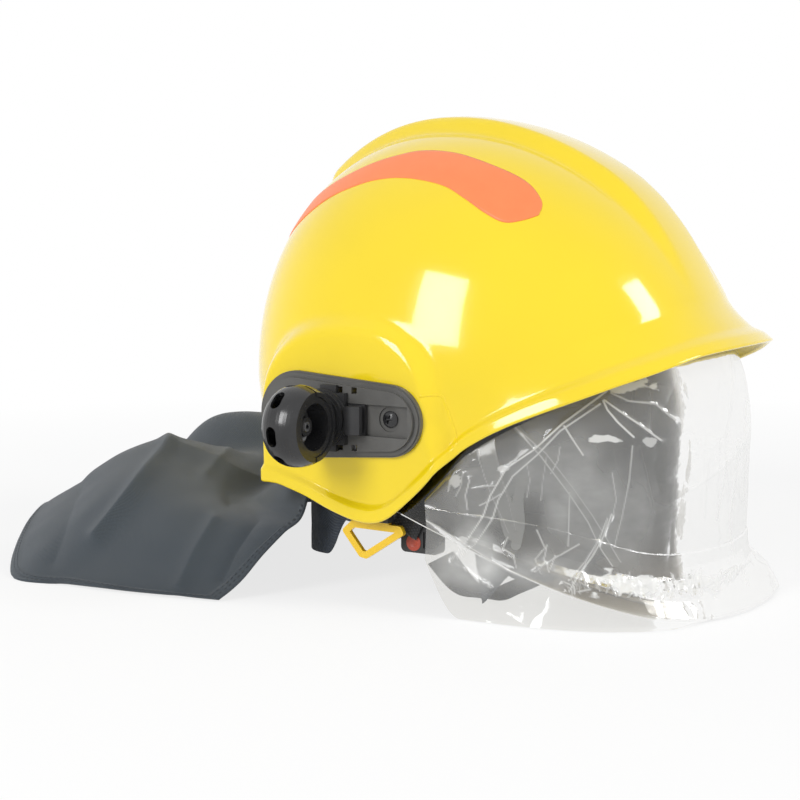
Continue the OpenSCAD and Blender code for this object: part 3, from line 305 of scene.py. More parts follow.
def sheet_object(name, mid, thick, material, uv=None):
    """A closed sheet: each row goes down its front, round its lower edge and up its back."""
    nu, nv = mid.shape[:2]
    half = grid_normals(mid) * (np.broadcast_to(thick, (nu, nv)) / 2)[..., None]
    loop = np.concatenate([mid + half, (mid - half)[:, ::-1]], 1)
    faces = grid_faces(nu, 2 * nv, False, True)
    last = (nu - 1) * 2 * nv
    for j in range(nv - 1):
        cap = [j, j + 1, 2 * nv - 2 - j, 2 * nv - 1 - j]
        faces += [cap, [last + corner for corner in cap[::-1]]]
    obj = make_object(name, loop, faces, material)
    if uv is not None:
        add_uv(obj, np.concatenate([uv, uv[:, ::-1]], 1))
    return obj


def closed_ring(name, rings, material, body="helmet"):
    """Rings of equal count, closed at both ends by a cap."""
    nu, nv = rings.shape[:2]
    faces = grid_faces(nu, nv, False, True)
    faces += [list(range(nv)), [(nu - 1) * nv + j for j in range(nv)][::-1]]
    return make_object(name, rings, faces, material, body=body)


def catmull(a, b, c, d, t):
    return (2 * b + (c - a) * t + (2 * a - 5 * b + 4 * c - d) * t ** 2
            + (3 * b - a - 3 * c + d) * t ** 3) / 2


def along(points, s):
    """Points on a smooth curve through the chosen ones, at the places s."""
    points = np.asarray(points, float)
    s = np.atleast_1d(np.asarray(s, float))
    last = len(points) - 1
    i = np.minimum(np.floor(s).astype(int), last - 1)
    t = (s - i).reshape([-1] + [1] * (points.ndim - 1))
    pick = [points[np.clip(i + k, 0, last)] for k in (-1, 0, 1, 2)]
    return catmull(*pick, t)


def spread(points, count):
    """A count of points on a smooth curve through the chosen ones."""
    return along(points, np.linspace(0, len(points) - 1, count))


# Material helpers. A wave texture of scale 1 repeats every wave_repeat metres.
wave_repeat = 0.314


def spaced(sockets):
    return {name.replace("_", " "): value for name, value in sockets.items()}


class Shader:
    """A material or world made node by node. Socket values are numbers, colours or other sockets."""

    def __init__(self, name, world=False):
        self.owner = (bpy.data.worlds if world else bpy.data.materials).new(name)
        self.owner.use_nodes = True
        self.tree = self.owner.node_tree
        self.tree.nodes.clear()

    def add(self, kind, sockets=None, **settings):
        node = self.tree.nodes.new("ShaderNode" + kind)
        for key, value in settings.items():
            setattr(node, key, value)
        for key, value in (sockets or {}).items():
            self.plug(value, node.inputs[key])
        return node

    def plug(self, value, socket):
        if isinstance(value, bpy.types.NodeSocket):
            self.tree.links.new(value, socket)
        elif hasattr(value, "__len__") and len(value) == 3 and socket.type == "RGBA":
            socket.default_value = (*value, 1)
        else:
            socket.default_value = value

    def place(self, scale=(1, 1, 1), turn=(0, 0, 0)):
        """Object coordinates in metres, scaled and turned."""
        where = self.add("TexCoord").outputs["Object"]
        return self.add("Mapping", {"Vector": where, "Scale": scale, "Rotation": turn}).outputs[0]

    def cloth_place(self, degrees=0):
        """Places on the flat cloth in metres, turned in its plane."""
        where = self.add("UVMap", uv_map="cloth").outputs[0]
        return self.add("Mapping", {"Vector": where, "Rotation": (0, 0, math.radians(degrees))}).outputs[0]

    def noise(self, where, scale, detail=3.0, rough=0.5):
        sockets = {"Vector": where, "Scale": scale, "Detail": detail, "Roughness": rough}
        return self.add("TexNoise", sockets).outputs["Fac"]

    def waves(self, degrees, pitch, **more):
        """Ribs on the flat cloth, a pitch apart in metres."""
        sockets = {"Vector": self.cloth_place(degrees), "Scale": wave_repeat / pitch, **spaced(more)}
        return self.add("TexWave", sockets).outputs["Fac"]

    def ramp(self, value, low, high, to_low=0.0, to_high=1.0):
        sockets = {"Value": value, "From Min": low, "From Max": high, "To Min": to_low, "To Max": to_high}
        return self.add("MapRange", sockets).outputs[0]

    def math(self, kind, a, b=0.0):
        return self.add("Math", {0: a, 1: b}, operation=kind).outputs[0]

    def mix(self, share, a, b):
        node = self.add("Mix", data_type="RGBA")
        for key, value in (("Factor_Float", share), ("A_Color", a), ("B_Color", b)):
            self.plug(value, next(s for s in node.inputs if s.identifier == key))
        return next(s for s in node.outputs if s.identifier == "Result_Color")

    def bump(self, height, distance, strength=1.0, normal=None):
        sockets = {"Height": height, "Distance": distance, "Strength": strength}
        if normal is not None:
            sockets["Normal"] = normal
        return self.add("Bump", sockets).outputs[0]

    def blend(self, share, first, second):
        return self.add("MixShader", {"Fac": share, 1: first.outputs[0], 2: second.outputs[0]})

    def in_view(self):
        """1 on rays from the camera, straight or by way of gloss and clear parts, and 0 on others."""
        path = self.add("LightPath")
        past = self.math("MAXIMUM", path.outputs["Is Glossy Ray"], path.outputs["Is Transmission Ray"])
        return self.math("MAXIMUM", path.outputs["Is Camera Ray"], past)

    def principled(self, colour, rough, normal, **more):
        return self.add("BsdfPrincipled", {"Base Color": colour, "Roughness": rough, "Normal": normal,
                                           **spaced(more)})

    def finish(self, shade, output="OutputMaterial", **sockets):
        self.add(output, {"Surface": shade.outputs[0], **sockets})
        return self.owner


def shade_of(colour, factor, more=0.0):
    return tuple(min(1, c * factor + more) for c in colour)


def shell_yellow(name, colour, rough=0.13):
    """Glossy painted moulding: slow changes of colour, faint orange peel and fine scuffs."""
    s = Shader(name)
    where = s.place()
    tint = s.mix(s.ramp(s.noise(where, 9.0, 2.0), 0.3, 0.7), colour, shade_of(colour, 0.94))
    scuffs = s.noise(s.place((1, 1, 6), (0.4, 0.2, 0.6)), 160.0, 4.0, 0.7)
    wear = s.ramp(scuffs, 0.62, 0.8, 0.0, 0.10)
    peel = s.bump(s.noise(where, 260.0, 1.0), 0.00006, 0.5)
    grain = s.bump(s.noise(where, 900.0, 2.0), 0.00001, 0.4, peel)
    return s.finish(s.principled(tint, s.math("ADD", wear, rough), grain, IOR=1.5, Specular_IOR_Level=0.35,
                                 Coat_Weight=0.5, Coat_Roughness=0.04))


def moulded(name, colour, rough, grain_scale=1400.0, grain=0.00004, vary=0.25):
    """Moulded plastic with a fine grain, lighter blotches and rougher scratched patches."""
    s = Shader(name)
    where = s.place()
    blotch = s.noise(where, 60.0, 4.0, 0.6)
    tint = s.mix(s.ramp(blotch, 0.35, 0.7), colour, shade_of(colour, 1 + vary, 0.006))
    scratches = s.noise(s.place((8, 1, 1), (0.3, 0.9, 0.5)), 220.0, 3.0, 0.7)
    worn = s.math("ADD", s.ramp(scratches, 0.55, 0.8, 0.0, 0.15), rough)
    pits = s.bump(s.noise(where, grain_scale, 2.0), grain, 0.6)
    return s.finish(s.principled(tint, worn, pits, IOR=1.5))


def metal(name, colour, rough):
    """Metal with fine brush marks."""
    s = Shader(name)
    brushed = s.noise(s.place((1, 30, 1)), 300.0, 3.0)
    tint = s.mix(s.ramp(s.noise(s.place(), 90.0), 0.3, 0.7), colour, shade_of(colour, 0.85))
    lines = s.ramp(brushed, 0.2, 0.8, rough * 0.7, rough * 1.5)
    return s.finish(s.principled(tint, lines, s.bump(brushed, 0.00001, 0.4), Metallic=1.0))


def twill(name, dark, light, pitch=0.0011, rough=0.85):
    """Woven twill: diagonal ribs crossed by yarns, with soft folds of colour."""
    s = Shader(name)
    ribs = s.waves(38, pitch, Distortion=0.6, Detail=1.0, Detail_Scale=60.0)
    yarns = s.waves(-52, pitch * 0.8, Distortion=0.4)
    weave = s.math("MULTIPLY", ribs, s.ramp(yarns, 0.0, 1.0, 0.55, 1.0))
    fuzz = s.noise(s.cloth_place(), 1500.0, 2.0)
    broad = s.noise(s.cloth_place(), 14.0, 3.0)
    tint = s.mix(weave, dark, light)
    tint = s.mix(s.ramp(fuzz, 0.45, 0.75, 0.0, 0.35), tint, shade_of(light, 1.5))
    tint = s.mix(s.ramp(broad, 0.35, 0.7, 0.0, 0.25), tint, dark)
    normal = s.bump(s.math("ADD", weave, s.math("MULTIPLY", fuzz, 0.4)), 0.00025, 0.7)
    return s.finish(s.principled(tint, rough, normal, IOR=1.45, Sheen_Weight=0.25, Sheen_Roughness=0.5))


def webbing_weave(name, dark, light, pitch=0.0016):
    """Narrow webbing: herringbone ribs along its length, with a little fuzz."""
    s = Shader(name)
    weave = s.math("MULTIPLY", s.waves(58, pitch, Distortion=0.2), s.waves(-58, pitch, Distortion=0.2))
    fuzz = s.noise(s.cloth_place(), 1800.0, 2.0)
    tint = s.mix(s.ramp(weave, 0.1, 0.9), dark, light)
    normal = s.bump(s.math("ADD", weave, s.math("MULTIPLY", fuzz, 0.3)), 0.0003, 0.8)
    return s.finish(s.principled(tint, 0.75, normal, Sheen_Weight=0.2))


def foam(name, colour, cell=0.004):
    """Expanded foam: moulded cells with darker walls."""
    s = Shader(name)
    cells = s.add("TexVoronoi", {"Vector": s.place(), "Scale": 1 / cell}, feature="DISTANCE_TO_EDGE")
    edge = cells.outputs["Distance"]
    tint = s.mix(s.ramp(edge, 0.0, 0.25), shade_of(colour, 0.6), colour)
    normal = s.bump(s.ramp(edge, 0.0, 0.3), 0.0004, 0.6)
    return s.finish(s.principled(tint, 0.8, normal))


def pad_fabric(name, dark, light):
    """Knitted lining over foam: small loops in rows."""
    s = Shader(name)
    where = s.place((1, 1, 1), (0.2, 0.3, 0.1))
    loops = s.add("TexVoronoi", {"Vector": where, "Scale": 620.0}).outputs["Distance"]
    tint = s.mix(s.ramp(loops, 0.1, 0.6), light, dark)
    tint = s.mix(s.ramp(s.noise(where, 70.0), 0.4, 0.7, 0.0, 0.4), tint, dark)
    return s.finish(s.principled(tint, 0.9, s.bump(loops, 0.0005, -0.7), Sheen_Weight=0.3))


def clear_visor(name):
    """Clear moulded sheet. Shadow and diffuse rays pass, as light does through thin clear plastic."""
    s = Shader(name)
    marks = s.noise(s.place((1, 1, 12), (0.3, 0.5, 0.2)), 180.0, 4.0, 0.75)
    haze = s.bump(s.noise(s.place(), 40.0, 3.0), 0.0002, 0.15)
    scratched = s.ramp(marks, 0.6, 0.85, 0.0, 0.12)
    glass = s.principled((0.83, 0.81, 0.77), scratched, haze, Transmission_Weight=1.0, IOR=1.49)
    path = s.add("LightPath")
    passing = s.math("MAXIMUM", path.outputs["Is Shadow Ray"], path.outputs["Is Diffuse Ray"])
    open_air = s.add("BsdfTransparent", {"Color": (0.92, 0.91, 0.89)})
    depth = s.add("VolumeAbsorption", {"Color": (0.60, 0.56, 0.47), "Density": 55.0})
    return s.finish(s.blend(passing, glass, open_air), Volume=depth.outputs[0])


def clear_film(name):
    """Thin wrapping film: mostly see-through, white along its creases and at its glints (partly the film's
    own clouding, partly painted highlight), and yellowish grey in doubled bands, whose yellow is a painted
    cast of light from the shell.
    """
    s = Shader(name)
    # The fold weight is the white along creases and crumples, the film's own clouding together with painted
    # highlight, plus painted glints and hazy patches
    fold, doubled_and_painted_cast = (s.add("Attribute", attribute_name=key).outputs["Fac"] for key in ("fold", "doubled_and_painted_cast"))
    crumple = s.noise(s.place((1, 1, 0.3), (0.2, 0.5, 0.3)), 260.0, 4.0, 0.65)
    normal = s.bump(crumple, 0.0003, 0.15)
    white = s.principled((0.80, 0.80, 0.78), 0.3, normal, IOR=1.5)
    gloss = s.add("BsdfGlossy", {"Color": (1, 1, 1), "Roughness": 0.015, "Normal": normal})
    fresnel = s.add("Fresnel", {"IOR": 1.5, "Normal": normal}).outputs[0]
    # Doubled bands are tinted yellowish grey: a painted cast of light from the yellow shell, not a colour of
    # the clear film
    see = s.add("BsdfTransparent", {"Color": s.mix(doubled_and_painted_cast, (0.88, 0.872, 0.85), (0.82, 0.81, 0.70))})
    film = s.blend(s.math("MULTIPLY", fresnel, 0.8), see, gloss)
    # Milky white where the fold weight is high: partly the film's clouding and partly painted highlight
    cloudy_and_painted_highlight = s.math("MAXIMUM", s.ramp(fold, 0.0, 1.0, 0.17, 0.85), s.ramp(doubled_and_painted_cast, 0.0, 1.0, 0.0, 0.3))
    return s.finish(s.blend(cloudy_and_painted_highlight, film, white))


yellow = shell_yellow("shell_gloss_yellow", (0.94, 0.70, 0.010))
orange = moulded("stripe_orange", (0.95, 0.245, 0.085), 0.42, 2400.0, 0.00001, 0.05)
plate_grey = moulded("plate_grey_satin", (0.085, 0.083, 0.078), 0.42)
black_satin = moulded("black_moulded", (0.018, 0.018, 0.019), 0.42)
black_gloss = moulded("black_gloss_moulded", (0.014, 0.014, 0.015), 0.2, 900.0, 0.00002)
loop_yellow = shell_yellow("loop_yellow", (0.93, 0.60, 0.02), 0.3)
steel = metal("bright_steel", (0.62, 0.62, 0.63), 0.3)
chrome = metal("chrome_ring", (0.85, 0.85, 0.86), 0.12)
nylon = moulded("rack_nylon", (0.62, 0.63, 0.66), 0.5)
button_red = moulded("button_red_brown", (0.36, 0.05, 0.025), 0.4)
cape_cloth = twill("cape_twill", (0.034, 0.044, 0.054), (0.076, 0.092, 0.108))
curtain_cloth = twill("curtain_twill", (0.030, 0.038, 0.050), (0.062, 0.076, 0.098), 0.0009)
thread = webbing_weave("sewing_thread", (0.022, 0.028, 0.036), (0.06, 0.07, 0.085), 0.0005)
webbing = webbing_weave("black_webbing", (0.012, 0.012, 0.013), (0.045, 0.045, 0.048))
liner_foam = foam("liner_foam", (0.05, 0.05, 0.052))
pad_cloth = pad_fabric("pad_knit", (0.03, 0.03, 0.033), (0.10, 0.10, 0.11))
visor_clear = clear_visor("visor_clear")
film_clear = clear_film("film_clear")


# Outer shell with its rolled rim. Its columns stand closer at the front and rear, its rows at the rim.
flare_top = 14
column_shift = 14
last_row_deg = 89.3


def outer_shell():
    stations, low_rows, rows, roll = 420, 22, 104, 7
    f = 360 * np.arange(stations) / stations
    a = (f + column_shift * sind(2 * f))[:, None]
    z0 = rim_z(rim_x(a))

    def ring(inset):
        low = z0 + flare_top * np.linspace(0, 1, low_rows)[None, :-1]
        start = z0 + flare_top
        top = equator_z + dome_h - inset
        high = start + (top - start) * sind(last_row_deg * np.linspace(0, 1, rows))[None, :]
        return shell_point(a, np.concatenate([low, high], 1), inset)

    outer, inner = ring(0), ring(shell_t)
    middle = (outer[:, :1] + inner[:, :1]) / 2
    angles = np.radians(np.linspace(0, 180, roll + 2)[1:-1])[None, :, None]
    down = np.array([0, 0, 1.0]) * shell_t / 2
    rolled = middle + (inner[:, :1] - middle) * np.cos(angles) - down * np.sin(angles)
    profile = np.concatenate([inner[:, ::-1], rolled, outer], 1)
    count = profile.shape[1]
    points = np.concatenate([profile.reshape(-1, 3), [
        [crown_x, 0, equator_z + dome_h + crest_h - shell_t], [crown_x, 0, equator_z + dome_h + crest_h]]])
    faces = grid_faces(stations, count, True)
    inner_top, outer_top = len(points) - 2, len(points) - 1
    for i in range(stations):
        k = (i + 1) % stations
        faces.append([i * count, inner_top, k * count])
        faces.append([i * count + count - 1, k * count + count - 1, outer_top])
    shell = make_object("shell_gloss", points, faces, yellow)
    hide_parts("outer_shell")


# Orange stripe, laid on the shell: pairs of places on its upper and lower edge, each a turn and a
# height in percent of the dome's
band_edges = [
    [49.6, 67.6, 51, 65.6], [48.2, 71.1, 56, 63.7], [49.4, 76.8, 61, 63], [54, 81.3, 65.5, 66.2],
    [64.8, 86.5, 71, 71.8], [75.2, 89.6, 77.5, 76.8], [88, 90.7, 88.2, 79.7], [100, 88.9, 98, 79.3],
    [112, 85.9, 108, 77], [127, 79.9, 122, 71.5], [145, 72.2, 142, 58.8], [163, 67.3, 162, 50.7],
    [180, 65.5, 180, 47.9],
]
stripe_t = 0.3
stripe_sunk = 0.05


def orange_stripe():
    steps, across = 150, 22
    s = (len(band_edges) - 1) * (steps - np.abs(np.arange(-steps, steps + 1))) / steps
    edge = along(band_edges, s)
    k = np.linspace(0, 1, across)[None, :]
    turn = edge[:, 0:1] * (1 - k) + edge[:, 2:3] * k
    high = equator_z + dome_h * (edge[:, 1:2] * (1 - k) + edge[:, 3:4] * k) / 100
    side = np.where(np.arange(-steps, steps + 1) < 0, -1, 1)[:, None]
    surface = shell_point(turn, high, 0)
    surface[..., 1] *= side
    edge_fade = smooth(0, 0.06, k) * smooth(1, 0.94, k)
    lift = (stripe_sunk + stripe_t * edge_fade)[..., None]
    mid = surface + outward_normals(surface, [crown_x, 0, equator_z]) * lift
    stripe = sheet_object("orange_stripe", mid, stripe_t, orange)
    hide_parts("reflective_band")


# Visor: arcs about the pivot, an upright wall and a bell with a lip
visor_pow = 2.3
visor_end_deg = 88
lip_slope = 0.4
lip_front_x = 115
lip_bend = 12
bell_from, bell_to = -40, 90
bell_above = 4
bell_below_pivot = 6
bell_out_from, bell_out_to = 10, 115
bell_curve = np.array([[0, 1], [0.05, 0.78], [0.16, 0.56], [0.38, 0.4], [0.74, 0.27]])
top_rows, wall_rows, bell_rows, lip_rows = 14, 15, 33, 6


def visor_reach(a):
    return visor_r * signed_pow(cosd(a), 2 / visor_pow)


def lip_z(x):
    d = lip_front_x - x
    return visor_t + lip_slope * np.where(d > lip_bend, d, np.maximum(0, d + lip_bend) ** 2 / (4 * lip_bend))


def bell_top(x):
    high = lip_z(x) + bell_h * smooth(bell_from, bell_to, x) + bell_above
    return np.minimum(high, pivot_z - bell_below_pivot)


def visor_surface(a):
    """Points of the visor's outside, from its top edge to its lip, for a column of angles a."""
    r = visor_reach(a)
    y = visor_half_w * signed_pow(sind(a), 2 / visor_pow)
    x = pivot_x + r
    low, knee = lip_z(x), bell_top(x)
    up = np.linspace(visor_top_deg, 0, top_rows + 1)[None, :-1]
    top = np.stack([pivot_x + r * cosd(up), y + 0 * up, pivot_z + r * sind(up)], -1)
    k = np.linspace(0, 1, wall_rows + 1)[None, :-1]
    wall = np.stack([x + 0 * k, y + 0 * k, pivot_z * (1 - k) + knee * k], -1)
    curve = spread(bell_curve, bell_rows)
    lip = np.linspace(0, 1, lip_rows + 1)[1:, None]
    curve = np.concatenate([curve, bell_curve[-1] * (1 - lip) + np.array([1, 0]) * lip])
    out = bell_out * smooth(bell_out_from, bell_out_to, x) * curve[None, :, 0]
    height = low * (1 - curve[None, :, 1]) + knee * curve[None, :, 1]
    bell = np.stack([x + out * cosd(a), y + out * sind(a), height], -1)
    return np.concatenate([top, wall, bell], 1)


def visor_shield():
    columns, round_steps = 241, 5
    a = np.linspace(-visor_end_deg, visor_end_deg, columns)[:, None]
    outer = visor_surface(a)
    normal = outward_normals(outer, [pivot_x, 0, 0], level=True)
    mid = outer - normal * visor_t / 2
    last = mid.shape[1] - 1
    inner = outer - normal * visor_t
    turns = np.radians(np.linspace(0, 180, round_steps + 2)[1:-1])[None, :, None]

    def rounded(column, past):
        """The half circle that closes the sheet's edge at a column, whose neighbour is past."""
        centre = mid[:, column:column + 1]
        edge = unit(centre - mid[:, past:past + 1]) * visor_t / 2
        return centre + (outer[:, column:column + 1] - centre) * np.cos(turns) + edge * np.sin(turns)

    foot = rounded(last, last - 1)
    head = rounded(0, 1)[:, ::-1]
    inner[..., 2] = np.maximum(inner[..., 2], 0.0)
    foot[..., 2] = np.maximum(foot[..., 2], 0.0)
    loop = np.concatenate([outer, foot, inner[:, ::-1], head], 1)
    shield = closed_ring("visor_shield", loop, visor_clear, body="visor")
    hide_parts("visor")


# Clear film, loose over the visor, with long folds across the near side
film_gap = 3
film_off = 0.4
film_touch = 0.1
film_low = 0.4
film_spread = 7
film_under_rim = 4
film_under_brim = 8
skirt_from = [-84, -72]
skirt_to = [-20, -34]
film_end = 8.8
# Share of its width that the film keeps where the shell presses it, with the visor raised
bell_back = np.array([[0, 1], [0.27, 0.74], [0.4, 0.38], [0.56, 0.16], [0.78, 0.05], [1, 0]])


def film_surface(a, k):
    """a in degrees, k from 0 at the top over 5 at the knee to 10 at the lip and 11 at the loose skirt."""
    levels = np.array([1, 1, 1, 1, 1, 1, 0.78, 0.56, 0.4, 0.27, 0, 0])
    share = np.interp(k, np.arange(12), levels)
    loose = np.where(k <= 5, 0.75 + 0.5 * sind(36 * k), share)
    lift = film_off + film_touch + (film_gap - film_touch) * loose
    r = visor_reach(a) + lift * signed_pow(cosd(a), 2 / visor_pow)
    foot = pivot_x + visor_reach(a)
    low, knee = lip_z(foot), bell_top(foot)
    skirt = np.clip(k - 10, 0, 1) * smooth(*skirt_from, a) * smooth(*skirt_to, a)
    z_top = np.minimum(rim_z(foot) - film_under_rim, brim_z - film_under_brim)
    z = np.where(k <= 5, z_top * (1 - k / 5) + knee * k / 5, low * (1 - share) + knee * share)
    z = np.where(k > 10, np.maximum((low - 1.5 * (k - 10)) * (1 - skirt) + film_low * skirt, film_low), z)
    belled = np.interp(share, bell_back[:, 0], bell_back[:, 1])
    out = bell_out * smooth(bell_out_from, bell_out_to, foot) * belled + film_spread * skirt
    x = np.where(z > pivot_z, np.sqrt(np.maximum(r * r - (z - pivot_z) ** 2, 0)), r)
    y = (visor_half_w + lift) * signed_pow(sind(a), 2 / visor_pow)
    return np.stack([pivot_x + x + out * cosd(a), y + out * sind(a), z + 0 * a], -1)


def ridge(d, half):
    """A crease: 1 on the line, falling away sharply to both sides."""
    return np.exp(-np.abs(d) / half)


def crease_white_and_highlight(d):
    """How white a crease is, d pixels from its middle: the film's own clouding there together with a painted
    highlight.
    """
    return np.exp(-(d / crease_line) ** 2)


def oval(places, middle, radii):
    """How far each place is from the middle of an oval, whose edge is at 1."""
    return np.hypot((places[..., 0] - middle[0]) / radii[0], (places[..., 1] - middle[1]) / radii[1])


# Creases of the film in pixels of the photograph: height in mm, half width in pixels, whiteness (the film's
# own clouding at the crease together with a painted highlight), line
film_creases = [
    [2.4, 5, 0.9, [[607, 391], [562, 424], [535, 449], [507, 468], [491, 495], [484, 515], [468, 540],
                   [452, 560]]],
    [1.6, 4, 0.8, [[600, 404], [560, 431], [538, 454], [513, 476], [499, 499], [493, 518], [476, 544],
                   [458, 558]]],
    [1.2, 3, 0.55, [[515, 427], [541, 456], [570, 495], [588, 522], [600, 548], [612, 566]]],
    [1.2, 3, 0.45, [[519, 430], [546, 453], [573, 488], [592, 515], [606, 538], [620, 562]]],
    [1.0, 3, 0.35, [[474, 441], [485, 477], [497, 505], [509, 533]]],
    [1.0, 3, 0.3, [[492, 438], [500, 470], [508, 498], [516, 530]]],
    [1.2, 3, 0.8, [[405, 508], [432, 524], [461, 540], [492, 560], [521, 576]]],
    [1.0, 2, 0.5, [[408, 512], [440, 527], [470, 548], [500, 567], [524, 578]]],
    [0.9, 2, 0.6, [[452, 560], [475, 577], [491, 588]]],
    [1.5, 3, 0.9, [[564, 426], [573, 440], [583, 455]]],
    [1.8, 4, 1.0, [[603, 401], [607, 410], [617, 422], [633, 437]]],
    [1.5, 3, 0.9, [[604, 400], [616, 409], [638, 424], [660, 440]]],
    [1.2, 3, 0.6, [[611, 393], [628, 401], [655, 404], [674, 420]]],
    [1.0, 2, 0.5, [[632, 446], [629, 480], [622, 515], [614, 547]]],
    [1.0, 2, 0.5, [[612, 473], [616, 500], [611, 520]]],
    [1.6, 3, 0.9, [[611, 514], [603, 535], [592, 556], [578, 576], [569, 592]]],
    [1.4, 3, 0.7, [[607, 518], [598, 540], [585, 562], [570, 580]]],
    [1.2, 2, 0.7, [[535, 572], [552, 560], [579, 544]]],
    [1.0, 2, 0.6, [[570, 492], [569, 520], [568, 546]]],
    [1.0, 2, 0.6, [[537, 530], [545, 548], [535, 560], [541, 574]]],
    [1.0, 2, 0.7, [[547, 545], [544, 560], [549, 572], [555, 556]]],
    [1.0, 2, 0.6, [[508, 537], [503, 549], [514, 556], [517, 568]]],
    [1.2, 3, 0.7, [[470, 480], [466, 495], [468, 509]]],
    [1.0, 2, 0.6, [[480, 505], [492, 499], [502, 493]]],
    [1.0, 3, 0.6, [[455, 472], [450, 482], [449, 491]]],
    [1.0, 3, 0.5, [[463, 474], [461, 487], [456, 496]]],
    [1.0, 2, 0.5, [[472, 488], [486, 486], [497, 485]]],
    [1.0, 3, 0.5, [[560, 447], [558, 460], [551, 473]]],
    [1.0, 3, 0.4, [[547, 455], [543, 480], [541, 500]]],
    [0.9, 3, 0.4, [[527, 463], [530, 480], [527, 497]]],
    [1.2, 4, 0.35, [[724, 461], [720, 490], [716, 520]]],
    [1.4, 5, 0.35, [[735, 440], [733, 480], [729, 520], [731, 550]]],
    [1.2, 4, 0.3, [[745, 400], [741, 450], [742, 500]]],
]
# Where it lies doubled, tinted with a painted yellow cast of light from the shell: half width and line, in
# pixels
film_doubled_painted_cast = [
    [9, [[485, 437], [492, 470], [503, 500], [512, 532]]],
    [4, [[517, 428], [543, 454], [571, 491], [590, 518], [603, 543], [616, 564]]],
    [6, [[522, 478], [518, 500], [520, 525], [516, 545]]],
]
# Painted highlights where it throws the light back, and where it is hazy: strength, middle and radii, in
# pixels
film_painted_glints = [
    [1.0, [628, 584], [38, 11]], [0.9, [604, 438], [12, 4]], [0.8, [634, 387], [20, 6]],
    [0.7, [505, 468], [9, 4]], [0.75, [463, 541], [9, 5]], [0.6, [456, 478], [5, 7]],
    [0.5, [698, 583], [24, 9]], [0.6, [650, 441], [7, 5]],
]
film_haze = [
    [0.45, [470, 562], [48, 34]], [0.30, [530, 572], [55, 26]], [0.22, [600, 520], [60, 60]],
    [0.16, [480, 490], [50, 50]], [0.20, [560, 470], [60, 50]],
]
# The lip in pixels, along which the film is crumpled
film_lip = np.array([[560, 586], [600, 584], [660, 588], [720, 580], [745, 570]])
# Half width of a crease in pixels, and the share of its height that it gets
crease_line = 0.9
crease_share = 0.55
crumples, lip_crumples = 34, 90
mm_per_degree = 2.0


def loose_film():
    nu, nv, far_share = 560, 380, 0.36
    edge_turn = visor_end_deg - film_end
    part = np.linspace(0, 1, nu)
    turn_to = np.interp(part, [0, 1 - far_share, 1], [-edge_turn, 10, edge_turn])
    a = turn_to[:, None]
    k = np.linspace(0, 11, nv)[None, :]
    base = film_surface(a, k)
    normal = outward_normals(base, [pivot_x, 0, 0], level=True)
    x, y, z = base[..., 0], base[..., 1], base[..., 2]
    faces_us = ((camera_at - base) * normal).sum(-1) > 0
    near = (faces_us & (y < 60)).astype(float)
    places = to_pixels(base)
    along_wall = np.degrees(np.arctan2(y, x - pivot_x)) * mm_per_degree
    lift, fold, doubled_and_painted_cast, haze = (np.zeros_like(x) for _ in range(4))
    # Each crease lifts the film and paints a white line along it, partly the film's clouding and partly
    # painted highlight
    for height, half, white, line in film_creases:
        d = line_distance(places, line)
        lift += near * crease_share * height * ridge(d, half)
        fold = np.maximum(fold, near * white * crease_white_and_highlight(d))
    # Doubled bands, which also take the painted yellow cast
    for half, line in film_doubled_painted_cast:
        doubled_and_painted_cast = np.maximum(doubled_and_painted_cast, near * smooth(half + 1, half - 1, line_distance(places, line)))
    rng = np.random.default_rng(7)
    # Loose crumples, each with a faint white line that is partly painted highlight
    for _ in range(crumples):
        u0, z0 = rng.uniform(-175, 175), rng.uniform(5, 150)
        turn = rng.normal(1.1, 0.45)
        du, dz = along_wall - u0, z - z0
        line = du * math.sin(turn) - dz * math.cos(turn)
        run = du * math.cos(turn) + dz * math.sin(turn)
        reach = np.exp(-(run / rng.uniform(14, 55)) ** 4)
        share = 0.12 + 0.5 * (u0 > 0)
        lift += share * rng.uniform(0.5, 1.5) * ridge(line, rng.uniform(2.5, 8)) * reach
        fold = np.maximum(fold, share * ridge(line, 0.6) * reach * rng.uniform(0.1, 0.6))
    # Crumples along the lip, with white lines that are partly the film's clouding and partly painted glints
    for _ in range(lip_crumples):
        middle = np.array([rng.uniform(560, 745), rng.uniform(-7, 9)])
        middle[1] += np.interp(middle[0], film_lip[:, 0], film_lip[:, 1])
        lean = rng.normal(0, 0.5)
        half_run = rng.uniform(3, 9)
        tip = half_run * np.array([math.sin(lean), math.cos(lean)])
        d = line_distance(places, [middle - tip, middle + tip])
        lift += near * rng.uniform(0.2, 0.6) * ridge(d, rng.uniform(1.2, 2.5))
        fold = np.maximum(fold, near * rng.uniform(0.15, 0.8) * crease_white_and_highlight(d))
    rough = fractal(base, (0.09, 0.09, 0.16), 4)
    soft = fractal(base, (0.03, 0.03, 0.018), 3)
    # Painted highlights: white patches where the film throws the light back
    for strength, middle, radii in film_painted_glints:
        q = oval(places, middle, radii)
        fold = np.maximum(fold, near * strength * smooth(1.05, 0.8, q + 0.9 * rough))
    for strength, middle, radii in film_haze:
        q = oval(places, middle, radii)
        haze += near * strength * smooth(1.25, 0.35, q + 0.5 * soft)
    fold = np.maximum(fold, haze + 0.2 * haze * rough)
    lift += 1.3 * np.abs(soft) + 0.12 * np.abs(rough)
    lift *= smooth(0, 1.0, k) * smooth(edge_turn, edge_turn - 6, np.abs(a))
    points = base + normal * lift[..., None]
    points[..., 2] = np.maximum(points[..., 2], film_low / 2)
    film = make_object("wrapping_film", points, grid_faces(nu, nv), film_clear, body="visor")
    # The fold weight carries crease white, painted highlights and glints, and haze
    add_weight(film, "fold", np.clip(fold, 0, 1))
    add_weight(film, "doubled_and_painted_cast", np.clip(doubled_and_painted_cast, 0, 1))
    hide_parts("visor_film")
    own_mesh(film)


